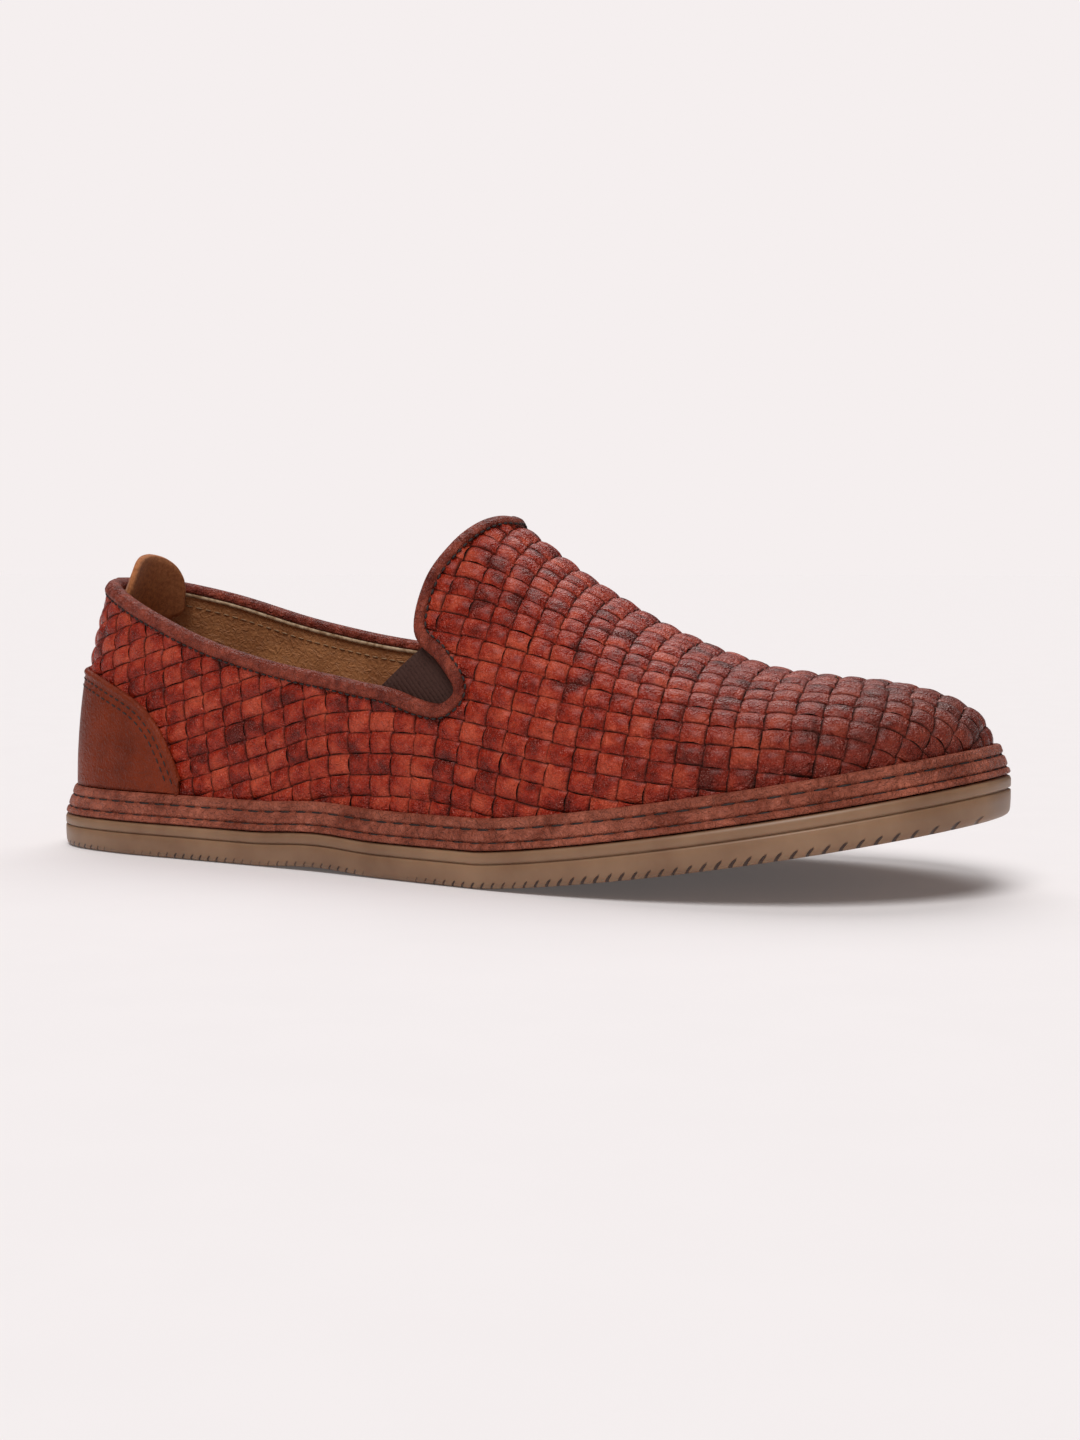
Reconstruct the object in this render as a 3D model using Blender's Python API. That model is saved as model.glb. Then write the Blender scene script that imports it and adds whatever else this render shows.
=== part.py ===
"""Right slip-on shoe with a woven leather upper (metres, +Z up).

The toe points along +X and the outer side of the foot faces -Y. The origin is on the floor, in the
middle of the sole's length and width. A place around the shoe is a turn: it counts the rows of
SECTIONS from the heel along the outer side to the toe, and on along the inner side back to the heel.
"""
import math

import bmesh
import bpy
from mathutils import Vector
from mathutils.bvhtree import BVHTree
from mathutils.geometry import barycentric_transform

# Driving sizes
LENGTH = 0.292
BALL_WIDTH = 0.104
INSTEP_HEIGHT = 0.0817
SOLE_THICKNESS = 0.0098
TOE_THICKENING = 0.001
TOE_SPRING = 0.020
ARCH_HEIGHT = 0.0010
BAND_HEIGHT = 0.0085
BAND_THICKNESS = 0.0017
BAND_LEAN = 0.0029
GAP = 0.0003
WALL = 0.0014
WALL_IN_BAND = 0.0055
JOINT_REACH = 0.25
JOINT_LEVELS = 6
STRIP_RELIEF = 0.0008
CROSS_STRIP = 0.0069
LONG_STRIP = 0.0058
HEEL_SEAM = 0.0006
TOPLINE_STEPS = 3
VAMP_LINES = 30
LINE_STEPS = 18
BEND_START, BEND_END, NOTCH_BEND = 7.6, 9.5, 3.0
WEAVE_TURN = math.radians(14)
ARM_HEADING = math.radians(-3)
ARM_BEND_ROWS = 3.5
PLAN_STEP = 0.25
BINDING_WIDTH = 0.0040
BINDING_THICKNESS = 0.0009
COUNTER_THICKNESS = 0.0012
GORE_THICKNESS = 0.0012
INSOLE_THICKNESS = 0.0030
TAB_HEIGHT = 0.0095
TAB_DEPTH = 0.0120
TAB_THICKNESS = 0.0022
TAB_REACH = 1.85
TAB_COLUMNS = 16
STRAP_WIDTH = 0.0150
STRAP_THICKNESS = 0.0010

# Shares of LENGTH where the sole leaves the floor
ARCH_START, ARCH_END = 0.30, 0.46
SPRING_START, SPRING_POWER = 0.57, 1.25

# Each row is one section of the last: outer x, outer y, inner x, inner y, ridge x, ridge height,
# how straight the side rises, how wide the crown is, and the ridge's slope.
# Shares: x of LENGTH from the heel, y of BALL_WIDTH, height of INSTEP_HEIGHT above the band.
SECTIONS = [
    (0.000, 0.000, 0.000, 0.000, 0.144, 1.070, 0.40, 0.70, 0.00),
    (0.017, -0.173, 0.017, 0.173, 0.144, 1.070, 0.40, 0.70, 0.00),
    (0.058, -0.293, 0.058, 0.293, 0.144, 1.070, 0.40, 0.68, 0.00),
    (0.130, -0.351, 0.130, 0.346, 0.171, 1.100, 0.40, 0.66, 0.00),
    (0.223, -0.370, 0.223, 0.346, 0.247, 1.120, 0.40, 0.66, 0.00),
    (0.325, -0.389, 0.325, 0.332, 0.325, 1.135, 0.42, 0.64, 0.00),
    (0.428, -0.423, 0.428, 0.337, 0.411, 1.110, 0.45, 0.60, -0.25),
    (0.531, -0.466, 0.531, 0.375, 0.497, 1.000, 0.50, 0.54, -0.58),
    (0.627, -0.500, 0.627, 0.433, 0.579, 0.794, 0.54, 0.52, -0.66),
    (0.719, -0.505, 0.719, 0.490, 0.661, 0.581, 0.58, 0.52, -0.50),
    (0.808, -0.471, 0.808, 0.505, 0.747, 0.411, 0.60, 0.52, -0.27),
    (0.890, -0.389, 0.890, 0.466, 0.812, 0.329, 0.64, 0.52, -0.12),
    (0.955, -0.250, 0.959, 0.346, 0.849, 0.292, 0.68, 0.54, -0.07),
    (0.991, -0.087, 0.993, 0.183, 0.849, 0.292, 0.68, 0.54, -0.07),
    (1.000, 0.058, 1.000, 0.058, 0.849, 0.292, 0.68, 0.54, -0.07),
]
LAST_ROW = len(SECTIONS) - 1
FAN_ROW = 12
FULL_TURN = 2 * LAST_ROW

# The opening's edge: the row a line of the wall starts from at the band, the row where it ends,
# and how far up its section it ends, on the outer and on the inner side.
TOPLINE = [
    (0.00, 0.00, 0.550, 0.550),
    (1.00, 1.00, 0.545, 0.545),
    (2.00, 2.02, 0.525, 0.530),
    (3.00, 3.05, 0.449, 0.478),
    (4.00, 4.05, 0.364, 0.411),
    (5.00, 5.10, 0.296, 0.350),
    (5.60, 5.75, 0.268, 0.318),
    (6.10, 6.25, 0.259, 0.286),
    (6.55, 6.62, 0.240, 0.256),
    (6.90, 6.88, 0.240, 0.250),
    (7.10, 7.03, 0.285, 0.290),
    (7.28, 6.80, 0.350, 0.352),
    (7.45, 6.52, 0.405, 0.405),
    (7.60, 6.56, 0.540, 0.540),
    (7.75, 6.76, 0.680, 0.680),
    (7.90, 6.98, 0.830, 0.830),
    (8.05, 7.20, 1.000, 1.000),
]

# The heel counter's edge, in the same four columns
COUNTER = [
    (0.00, 0.00, 0.310, 0.310),
    (1.00, 1.00, 0.310, 0.310),
    (2.00, 2.00, 0.300, 0.300),
    (2.60, 2.70, 0.263, 0.266),
    (3.10, 3.20, 0.220, 0.222),
    (3.45, 3.50, 0.165, 0.166),
    (3.65, 3.70, 0.096, 0.096),
    (3.80, 3.82, 0.038, 0.038),
]

# The four corners of a gore, as rows and shares up the section
GORE_BACK_TOP, GORE_FRONT_TOP = (6.05, 0.268), (7.10, 0.480)
GORE_BACK_FOOT, GORE_FRONT_FOOT = (6.15, 0.185), (7.40, 0.190)

# The rubber's edge from the tread to the top: inset in metres, then share of its thickness
RUBBER_EDGE = [
    (0.0030, 0.00),
    (0.0010, 0.04),
    (0.0002, 0.20),
    (0.0000, 0.45),
    (0.0000, 0.62),
    (0.0006, 0.65),
    (0.0006, 0.69),
    (0.0000, 0.72),
    (0.0001, 0.93),
    (0.0009, 1.00),
]

# The band's three beads, outside, from its foot to its top: inset beyond the lean, share of height
BAND_BEADS = [
    (0.0003, 0.00),
    (0.0002, 0.14),
    (0.0007, 0.24),
    (0.0001, 0.34),
    (0.0008, 0.65),
    (0.0001, 0.76),
    (0.0009, 1.00),
]

UPPER_INSET = BAND_LEAN + BAND_THICKNESS + GAP + STRIP_RELIEF + 0.0001
BINDING_SEAT = STRIP_RELIEF + GAP + 0.0002
BINDING_LINING = WALL + GAP + 0.0010
BINDING_FOLD = 2 * GAP
GORE_SEAT = BINDING_LINING + BINDING_THICKNESS + GAP


def blend(table, place):
    """Smooth values between the rows of a table, at a row number that may have a fraction."""
    place = min(max(place, 0.0), len(table) - 1)
    row = min(int(place), len(table) - 2)
    part = place - row
    before, start = table[max(row - 1, 0)], table[row]
    end, after = table[row + 1], table[min(row + 2, len(table) - 1)]
    return [catmull(a, b, c, d, part) for a, b, c, d in zip(before, start, end, after)]


def catmull(a, b, c, d, part):
    """The curve through b and c whose slopes follow a and d."""
    linear = (c - a) * part
    square = (2 * a - 5 * b + 4 * c - d) * part ** 2
    cube = (3 * b - a - 3 * c + d) * part ** 3
    return b + 0.5 * (linear + square + cube)


def outline(turn):
    """The sole's outline, a closed curve through the sections' outer and inner points."""
    def point(number):
        number %= FULL_TURN
        row = SECTIONS[min(number, FULL_TURN - number)]
        x, y = row[0:2] if number <= LAST_ROW else row[2:4]
        return x * LENGTH - LENGTH / 2, y * BALL_WIDTH
    number = math.floor(turn)
    near = [point(number + step) for step in (-1, 0, 1, 2)]
    return Vector([catmull(*values, turn - number) for values in zip(*near)])


def rim(turn, inset):
    """A point of the outline moved in towards the middle of the sole."""
    step = 0.02
    run = outline(turn + step) - outline(turn - step)
    out = Vector((run.y, -run.x)).normalized()
    return outline(turn) - out * inset


def floor_lift(x):
    """How far the sole is off the floor: a low arch, then the toe spring."""
    share = x / LENGTH + 0.5
    if share > SPRING_START:
        return TOE_SPRING * ((share - SPRING_START) / (1 - SPRING_START)) ** SPRING_POWER
    if ARCH_START < share < ARCH_END:
        return ARCH_HEIGHT * math.sin(math.pi * (share - ARCH_START) / (ARCH_END - ARCH_START)) ** 2
    return 0.0


def rubber(x):
    """Thickness of the rubber sole, a little more towards the toe."""
    return SOLE_THICKNESS + TOE_THICKENING * max(0.0, 2 * x / LENGTH)


def sole_top(x):
    return floor_lift(x) + rubber(x)


def band_top(x):
    return sole_top(x) + BAND_HEIGHT


def foot(turn):
    """Where the upper comes out of the band."""
    x, y = rim(turn, UPPER_INSET)
    return Vector((x, y, band_top(x)))


def last(turn, rise):
    """The last's surface: rise is 0 at the band and 1 on the ridge."""
    turn %= FULL_TURN
    ridge_x, height, straight, crown, slope = blend(SECTIONS, min(turn, FULL_TURN - turn))[4:]
    x = ridge_x * LENGTH - LENGTH / 2
    ridge = Vector((x, 0.0, band_top(x) + height * INSTEP_HEIGHT))
    start = foot(turn)
    reach = start - ridge
    side = start + Vector((0, 0, -reach.z * straight))
    top = ridge + crown * Vector((reach.x, reach.y, slope * reach.x))
    fall = 1 - rise
    return (start * fall ** 3 + side * 3 * rise * fall ** 2
            + top * 3 * rise ** 2 * fall + ridge * rise ** 3)


def surface_normal(turn, rise):
    """Outward direction of the last, away from its ridge."""
    step = 0.01
    rise = min(max(rise, step), 1 - 2 * step)
    along = last(turn + step, rise) - last(turn - step, rise)
    upwards = last(turn, rise + step) - last(turn, rise - step)
    return along.cross(upwards).normalized()


def moved(turn, rise, way):
    """The turn and rise of the place that lies a short way from another one."""
    step = 0.01
    along = (last(turn + step, rise) - last(turn - step, rise)) / 2 / step
    upwards = (last(turn, rise + step) - last(turn, rise - step)) / 2 / step
    across = along.dot(upwards)
    area = along.length_squared * upwards.length_squared - across * across
    more = (way.dot(along) * upwards.length_squared - way.dot(upwards) * across) / area
    higher = (way.dot(upwards) * along.length_squared - way.dot(along) * across) / area
    return turn + more, rise + higher


def place_on(side, row):
    """The turn of a row on the outer (0) or inner (1) side."""
    return FULL_TURN - row if side else row


def wall_lines(table, side, steps):
    """Lines up the wall: each is its starting row, its ending row and its ending rise."""
    lines = []
    for step in range((len(table) - 1) * steps + 1):
        start, end, outer, inner = blend(table, step / steps)
        lines.append((start, end, inner if side else outer))
    return lines


def vamp_lines(count):
    """Lines of the vamp from the throat to the toe, which all end on the ridge."""
    throat, edge = TOPLINE[-1][:2]
    lines = []
    for step in range(1, count + 1):
        row = throat + (LAST_ROW - throat) * step / count
        near = min(1.0, (row - throat) / (FAN_ROW - throat))
        end = edge + (FAN_ROW - edge) * near if row < FAN_ROW else row
        lines.append((row, end, 1.0))
    return lines


def line_place(line, share):
    """Row and rise of a place on a line up the wall; lines near the notch lean back only high up."""
    start, end, rise = line
    ahead = (BEND_END - start) / (BEND_END - BEND_START)
    bend = 1 + NOTCH_BEND * min(max(ahead, 0.0), 1.0)
    return start + (end - start) * share ** bend, rise * share


def line_point(side, line, share):
    """A point of a line up the wall."""
    row, rise = line_place(line, share)
    return last(place_on(side, row), rise)


def topline_stations(steps):
    """Turn and rise of places on the opening's edge, around it once."""
    stations = []
    for side in (0, 1):
        lines = wall_lines(TOPLINE, side, steps)
        here = [(place_on(side, end), rise) for _, end, rise in lines]
        stations += reversed(here[1:-1]) if side else here
    return stations


def sheet(columns):
    """A mesh through columns of points, with its faces to the left of the way they go."""
    bm = bmesh.new()
    rows = [[bm.verts.new(point) for point in column] for column in columns]
    for near, far in zip(rows, rows[1:]):
        for low in range(len(near) - 1):
            bm.faces.new((near[low], far[low], far[low + 1], near[low + 1]))
    bmesh.ops.remove_doubles(bm, verts=bm.verts[:], dist=0.00001)
    bm.normal_update()
    return bm


def thicken(bm, outside, inside):
    """Turn a sheet into a closed wall between two distances from it."""
    bm.verts.index_update()
    solid = bmesh.new()
    outer = [solid.verts.new(vert.co + vert.normal * outside) for vert in bm.verts]
    inner = [solid.verts.new(vert.co + vert.normal * inside) for vert in bm.verts]
    for face in bm.faces:
        corners = [vert.index for vert in face.verts]
        solid.faces.new([outer[corner] for corner in corners])
        solid.faces.new([inner[corner] for corner in reversed(corners)])
    for edge in bm.edges:
        if edge.is_boundary:
            start = edge.link_loops[0].vert.index
            end = edge.other_vert(edge.link_loops[0].vert).index
            solid.faces.new((outer[end], outer[start], inner[start], inner[end]))
    bm.free()
    return solid


def rings(bm, loops, tube):
    """Bridge closed loops from the bottom up; a tube joins the last loop to the first."""
    rows = [[bm.verts.new(point) for point in loop] for loop in loops]
    count = len(rows[0])
    for low, high in zip(rows, rows[1:] + rows[:1] if tube else rows[1:]):
        for here in range(count):
            there = (here + 1) % count
            bm.faces.new((low[here], low[there], high[there], high[here]))
    return rows


def cap(bm, loop, upwards):
    """Close a loop around the shoe with faces that run across it."""
    count = len(loop)
    for here in range(count // 2):
        pair = (loop[here], loop[here + 1], loop[count - here - 1], loop[-here])
        corners = list(dict.fromkeys(pair))
        bm.faces.new(corners if upwards else corners[::-1])


def add(name, bm, colour, roughness):
    """Make an object from a mesh, with its own material."""
    mesh = bpy.data.meshes.new(name)
    bm.to_mesh(mesh)
    bm.free()
    part = bpy.data.objects.new(name, mesh)
    bpy.context.scene.collection.objects.link(part)
    material = bpy.data.materials.new(name)
    material.use_nodes = True
    shader = material.node_tree.nodes["Principled BSDF"]
    shader.inputs["Base Color"].default_value = (*colour, 1)
    shader.inputs["Roughness"].default_value = roughness
    shader.inputs["Metallic"].default_value = 0.0
    mesh.materials.append(material)
    mesh.shade_smooth()
    mesh.set_sharp_from_angle(angle=math.radians(35))
    return part


def sole_turns(steps):
    return [step / steps for step in range(FULL_TURN * steps)]


def make_outsole():
    """Rubber sole with a rounded tread edge and a parting groove around its side."""
    bm = bmesh.new()
    loops = []
    for inset, share in RUBBER_EDGE:
        points = [rim(turn, inset) for turn in sole_turns(3)]
        loops.append([(x, y, floor_lift(x) + share * rubber(x)) for x, y in points])
    rows = rings(bm, loops, False)
    cap(bm, rows[0], False)
    cap(bm, rows[-1], True)
    add("outsole", bm, (0.22, 0.13, 0.075), 0.45)


def make_band():
    """Leather band around the sole's edge: three beads outside, plain inside."""
    bm = bmesh.new()
    profile = [(inset + BAND_LEAN * share, share) for inset, share in BAND_BEADS]
    back = BAND_LEAN + BAND_THICKNESS
    profile += [(back, 1.0), (back, 0.0)]
    loops = []
    for inset, share in profile:
        points = [rim(turn, inset) for turn in sole_turns(3)]
        height = GAP + share * (BAND_HEIGHT - GAP)
        loops.append([(x, y, sole_top(x) + height) for x, y in points])
    rings(bm, loops, True)
    add("welt_band", bm, (0.19, 0.055, 0.035), 0.5)


def make_insole():
    """Footbed inside the upper, lying on the outsole."""
    bm = bmesh.new()
    inset = UPPER_INSET + WALL + GAP + 0.0003
    loops = []
    for pull, height in ((0.0, 0.0), (0.0, 0.75), (0.001, 1.0)):
        points = [rim(turn, inset + pull) for turn in sole_turns(3)]
        lift = GAP + height * INSOLE_THICKNESS
        loops.append([(x, y, sole_top(x) + lift) for x, y in points])
    rows = rings(bm, loops, False)
    cap(bm, rows[0], False)
    cap(bm, rows[-1], True)
    add("insole", bm, (0.30, 0.19, 0.10), 0.7)


def evaluated(obj):
    """The object's mesh after its modifiers, as a bmesh."""
    bm = bmesh.new()
    bm.from_object(obj, bpy.context.evaluated_depsgraph_get())
    return bm


def scratch(name, bm):
    """A helper object that is removed again."""
    mesh = bpy.data.meshes.new(name)
    bm.to_mesh(mesh)
    bm.free()
    helper = bpy.data.objects.new(name, mesh)
    bpy.context.scene.collection.objects.link(helper)
    return helper


def combine(bm, other, operation, solver="EXACT"):
    """Boolean of two closed meshes."""
    target = scratch("boolean_target", bm)
    tool = scratch("boolean_tool", other)
    modifier = target.modifiers.new("cut", "BOOLEAN")
    modifier.solver = solver
    modifier.operation = operation
    modifier.object = tool
    result = evaluated(target)
    bpy.data.objects.remove(target, do_unlink=True)
    bpy.data.objects.remove(tool, do_unlink=True)
    return result


def woven_lines():
    """Columns of points over the woven area, with the same points laid flat along the strips."""
    seam = HEEL_SEAM / 2 / (SECTIONS[1][3] * BALL_WIDTH)
    sides = []
    for side in (0, 1):
        plan = flat_plan(side)
        lines = wall_lines(TOPLINE, side, TOPLINE_STEPS) + vamp_lines(VAMP_LINES)
        sides.append([woven_column(side, line, plan, seam) for line in lines])
    return sides[0] + sides[1][-2::-1]


def woven_column(side, line, plan, seam):
    """Place, normal and flat place of points from inside the band to the topline or the ridge."""
    column = []
    for step in range(LINE_STEPS + 1):
        row, rise = line_place(line, step / LINE_STEPS)
        row = max(row, seam)
        turn = place_on(side, row)
        laid, way = flat_place(plan, row, rise)
        normal = surface_normal(turn, rise)
        if step == 0:
            low = last(turn, 0) - Vector((0, 0, WALL_IN_BAND))
            column.append((low, normal, turned(laid - way * WALL_IN_BAND)))
        column.append((last(turn, rise), normal, turned(laid)))
    return column


def turned(point):
    """The flat plan turned to the strips' own directions."""
    cosine, sine = math.cos(WEAVE_TURN), math.sin(WEAVE_TURN)
    return Vector((point.x * cosine + point.y * sine, point.y * cosine - point.x * sine))


def flat_plan(side):
    """Straight lines of the flat plan: start and end row, flat foot, flat way, lengths up the line.

    The ridge is straight there, from the toe's pivot towards -X. Heelwards of the throat the feet
    keep their true distances, and bend to run along the ridge.
    """
    out = 1 if side else -1
    throat, edge = TOPLINE[-1][:2]
    plan = []
    ridge, before = 0.0, None
    for start, end in [line[:2] for line in reversed(vamp_lines(VAMP_LINES))] + [(throat, edge)]:
        points, lengths = plan_line(side, start, end)
        ridge += (points[-1] - before).length if before else 0.0
        before = points[-1]
        lean = math.atan2(points[0].x - before.x, out * (points[0].y - before.y))
        way = Vector((-math.sin(lean), -out * math.cos(lean)))
        plan.append((start, end, Vector((-ridge, 0)) - way * lengths[-1], way, lengths))
    ahead = plan[-1][2] - plan[-2][2]
    heading = math.atan2(out * ahead.y, -ahead.x)
    row = throat
    while row > 0:
        before = last(place_on(side, row), 0)
        row = max(0.0, row - PLAN_STEP)
        share = min(1.0, (throat - row) / ARM_BEND_ROWS)
        share = share * share * (3 - 2 * share)
        end = row - (throat - edge) * (1 - share)
        points, lengths = plan_line(side, row, end)
        bend = heading + (ARM_HEADING - heading) * share
        tilt = lean + (-ARM_HEADING - lean) * share
        ahead = Vector((-math.cos(bend), out * math.sin(bend))) * (points[0] - before).length
        way = Vector((-math.sin(tilt), -out * math.cos(tilt)))
        plan.append((row, end, plan[-1][2] + ahead, way, lengths))
    return plan[::-1]


def plan_line(side, start, end):
    """Points straight up from the band to the ridge, and the lengths up to them."""
    shares = [step / LINE_STEPS for step in range(LINE_STEPS + 1)]
    points = [last(place_on(side, start + (end - start) * share), share) for share in shares]
    lengths = [0.0]
    for low, high in zip(points, points[1:]):
        lengths.append(lengths[-1] + (high - low).length)
    return points, lengths


def flat_place(plan, row, rise):
    """Where a place lies in the flat plan, and the way upwards there."""
    level = rise * LINE_STEPS
    low = min(int(level), LINE_STEPS - 1)
    number = 0
    rows = [start + (end - start) * rise for start, end, _, _, _ in plan]
    while number < len(plan) - 2 and rows[number + 1] < row:
        number += 1
    share = (row - rows[number]) / (rows[number + 1] - rows[number])
    spots = []
    for _, _, foot_flat, way, lengths in plan[number:number + 2]:
        length = lengths[low] + (lengths[low + 1] - lengths[low]) * (level - low)
        spots.append(foot_flat + way * length)
    return spots[0] + (spots[1] - spots[0]) * share, plan[number][3]


def weave_cells(placed):
    """A flat slab whose top is a plain weave: in each cell one strip arches over the other."""
    low_x = math.floor(min(point.x for point in placed) / CROSS_STRIP) - 1
    low_y = math.floor(min(point.y for point in placed) / LONG_STRIP) - 1
    count_x = math.ceil(max(point.x for point in placed) / CROSS_STRIP) + 1 - low_x
    count_y = math.ceil(max(point.y for point in placed) / LONG_STRIP) + 1 - low_y
    bm = bmesh.new()

    def vert(x, y, height):
        return bm.verts.new(((low_x + x) * CROSS_STRIP, (low_y + y) * LONG_STRIP, height))
    low = [[vert(x, y, 0.0) for y in range(count_y + 1)] for x in range(count_x + 1)]
    base = [[vert(x, y, -WALL) for y in range(count_y + 1)] for x in range(count_x + 1)]
    for x in range(count_x):
        for y in range(count_y):
            corners = [low[x][y], low[x + 1][y], low[x + 1][y + 1], low[x][y + 1]]
            if (low_x + x + low_y + y) % 2:
                corners = corners[1:] + corners[:1]
                first = vert(x + 1, y + 0.5, STRIP_RELIEF)
                second = vert(x, y + 0.5, STRIP_RELIEF)
            else:
                first = vert(x + 0.5, y, STRIP_RELIEF)
                second = vert(x + 0.5, y + 1, STRIP_RELIEF)
            a, b, c, d = corners
            for face in ((a, first, second, d), (first, b, c, second), (a, b, first), (c, d, second)):
                bm.faces.new(face)
            bm.faces.new((base[x][y], base[x][y + 1], base[x + 1][y + 1], base[x + 1][y]))
    for x in range(count_x):
        bm.faces.new((base[x][0], base[x + 1][0], low[x + 1][0], low[x][0]))
        bm.faces.new((base[x + 1][-1], base[x][-1], low[x][-1], low[x + 1][-1]))
    for y in range(count_y):
        bm.faces.new((base[0][y + 1], base[0][y], low[0][y], low[0][y + 1]))
        bm.faces.new((base[-1][y], base[-1][y + 1], low[-1][y + 1], low[-1][y]))
    return bm


def pattern_prism(columns):
    """The flat outline of the woven area, as a tall solid."""
    throat = (len(TOPLINE) - 1) * TOPLINE_STEPS
    around = [column[0][2] for column in columns[:-1:4] + columns[-1:]]
    around += [column[-1][2] for column in columns[:-2 - throat:-1]]
    around += [column[-1][2] for column in reversed(columns[:throat])]
    prism = bmesh.new()
    reach = 2 * (WALL + STRIP_RELIEF)
    face = prism.faces.new([prism.verts.new((*point, -reach)) for point in around])
    top = bmesh.ops.extrude_face_region(prism, geom=[face])["geom"]
    for item in top:
        if isinstance(item, bmesh.types.BMVert):
            item.co.z = reach
    bmesh.ops.recalc_face_normals(prism, faces=prism.faces[:])
    return prism


def nearest_triangle(spot, face, placed):
    """The triangle of a face that holds a flat point."""
    a, b, c, _ = (placed[index] for index in face)
    across = (c - a).cross(spot - a).z
    beside = (c - a).cross(b - a).z
    return (face[0], face[1], face[2]) if across * beside > 0 else (face[0], face[2], face[3])


def wrap(weave, columns):
    """Lay the flat weave on the last."""
    flat, places, normals, faces = [], [], [], []
    count = len(columns[0])
    for number, column in enumerate(columns):
        for level, (point, normal, laid) in enumerate(column):
            if number and level:
                here = number * count + level
                faces.append((here - count - 1, here - 1, here, here - count))
            flat.append(laid.to_3d())
            places.append(point)
            normals.append(normal)
    tree = BVHTree.FromPolygons(flat, faces)
    for vert in weave.verts:
        spot, _, index, _ = tree.find_nearest(Vector((vert.co.x, vert.co.y, 0)))
        corners = nearest_triangle(spot, faces[index], flat)
        triangle = [flat[corner] for corner in corners]
        point = barycentric_transform(spot, *triangle, *(places[corner] for corner in corners))
        normal = barycentric_transform(spot, *triangle, *(normals[corner] for corner in corners))
        vert.co = point + normal.normalized() * vert.co.z
    weave.normal_update()


def make_upper():
    """One hollow wall, open on top and below, with a plain weave raised on its outside."""
    woven = woven_lines()
    wall = combine(weave_cells([laid for column in woven for _, _, laid in column]),
                   pattern_prism(woven), "INTERSECT")
    wrap(wall, woven)
    heel = []
    top = TOPLINE[0][2] - TOPLINE_STEPS * GAP / INSTEP_HEIGHT
    for turn in (-JOINT_REACH, 0.0, JOINT_REACH):
        low = last(turn, 0) - Vector((0, 0, WALL_IN_BAND - GAP))
        heel.append([low] + [last(turn, top * level / JOINT_LEVELS) for level in range(JOINT_LEVELS + 1)])
    joint = thicken(sheet(heel), -WALL / 3, -WALL * 2 / 3)
    bmesh.ops.triangulate(wall, faces=wall.faces[:])
    add("woven_upper", combine(wall, joint, "UNION", "MANIFOLD"), (0.30, 0.065, 0.03), 0.35)


def make_counter():
    """Smooth leather around the heel, standing on the band, over the weave."""
    columns = []
    for side in (0, 1):
        lines = [(side, line) for line in wall_lines(COUNTER, side, 2)]
        around = lines[1:] if side else list(reversed(lines))
        for side_here, line in around:
            bottom = line_point(side_here, line, 0) + Vector((0, 0, GAP))
            columns.append([bottom] + [line_point(side_here, line, step / 3) for step in (1, 2, 3)])
    columns.reverse()
    bm = thicken(sheet(columns), BINDING_SEAT + COUNTER_THICKNESS, BINDING_SEAT)
    add("heel_counter", bm, (0.12, 0.035, 0.022), 0.4)


def make_binding():
    """Leather folded over the edge of the opening, one leg outside and one inside."""
    stations = topline_stations(TOPLINE_STEPS)
    points = [last(turn, rise) for turn, rise in stations]
    seat, thick, lining = BINDING_SEAT, BINDING_THICKNESS, BINDING_LINING
    profile = [
        (BINDING_WIDTH, seat + thick),
        (-BINDING_FOLD - thick / 2, seat + thick * 0.8),
        (-BINDING_FOLD - thick, -WALL / 2),
        (-BINDING_FOLD - thick / 2, -lining - thick * 0.8),
        (BINDING_WIDTH, -lining - thick),
        (BINDING_WIDTH, -lining),
        (-BINDING_FOLD, -lining),
        (-BINDING_FOLD, seat),
        (BINDING_WIDTH, seat),
    ]
    loops = [[] for _ in profile]
    for number, (turn, rise) in enumerate(stations):
        run = points[(number + 1) % len(points)] - points[number - 1]
        out = surface_normal(turn, rise)
        into = run.cross(out).normalized()
        for loop, (depth, off) in zip(loops, profile):
            place = moved(turn, rise, into * depth)
            loop.append(last(*place) + surface_normal(*place) * off)
    bm = bmesh.new()
    rings(bm, loops, True)
    add("topline_binding", bm, (0.055, 0.018, 0.013), 0.5)


def make_gore(side, name):
    """Elastic behind a side notch."""
    columns = []
    for across in range(6):
        share = across / 5
        top = [a + (b - a) * share for a, b in zip(GORE_BACK_TOP, GORE_FRONT_TOP)]
        low = [a + (b - a) * share for a, b in zip(GORE_BACK_FOOT, GORE_FRONT_FOOT)]
        column = []
        for level in range(4):
            row, rise = (a + (b - a) * level / 3 for a, b in zip(low, top))
            column.append(last(place_on(side, row), rise))
        columns.append(column)
    if side:
        columns.reverse()
    add(name, thicken(sheet(columns), -GORE_SEAT, -GORE_SEAT - GORE_THICKNESS), (0.02, 0.009, 0.006), 0.7)


def make_tab():
    """Suede crescent inside the heel, standing up over the topline."""
    columns = []
    for number in range(TAB_COLUMNS + 1):
        row = TAB_REACH * (2 * number / TAB_COLUMNS - 1)
        edge = blend(TOPLINE, abs(row))[2]
        rim_point = last(row, edge)
        upwards = (last(row, edge + 0.02) - last(row, edge - 0.02)).normalized()
        bulge = math.sqrt(max(0.0, 1 - (row / TAB_REACH) ** 2))
        low, high = -TAB_DEPTH * (0.4 + 0.6 * bulge), TAB_HEIGHT * bulge + BINDING_THICKNESS
        columns.append([rim_point + upwards * (low + (high - low) * level / 4) for level in range(5)])
    seat = GORE_SEAT + GAP / 2
    add("pull_tab", thicken(sheet(columns), -seat, -seat - TAB_THICKNESS), (0.17, 0.075, 0.03), 0.9)


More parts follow.
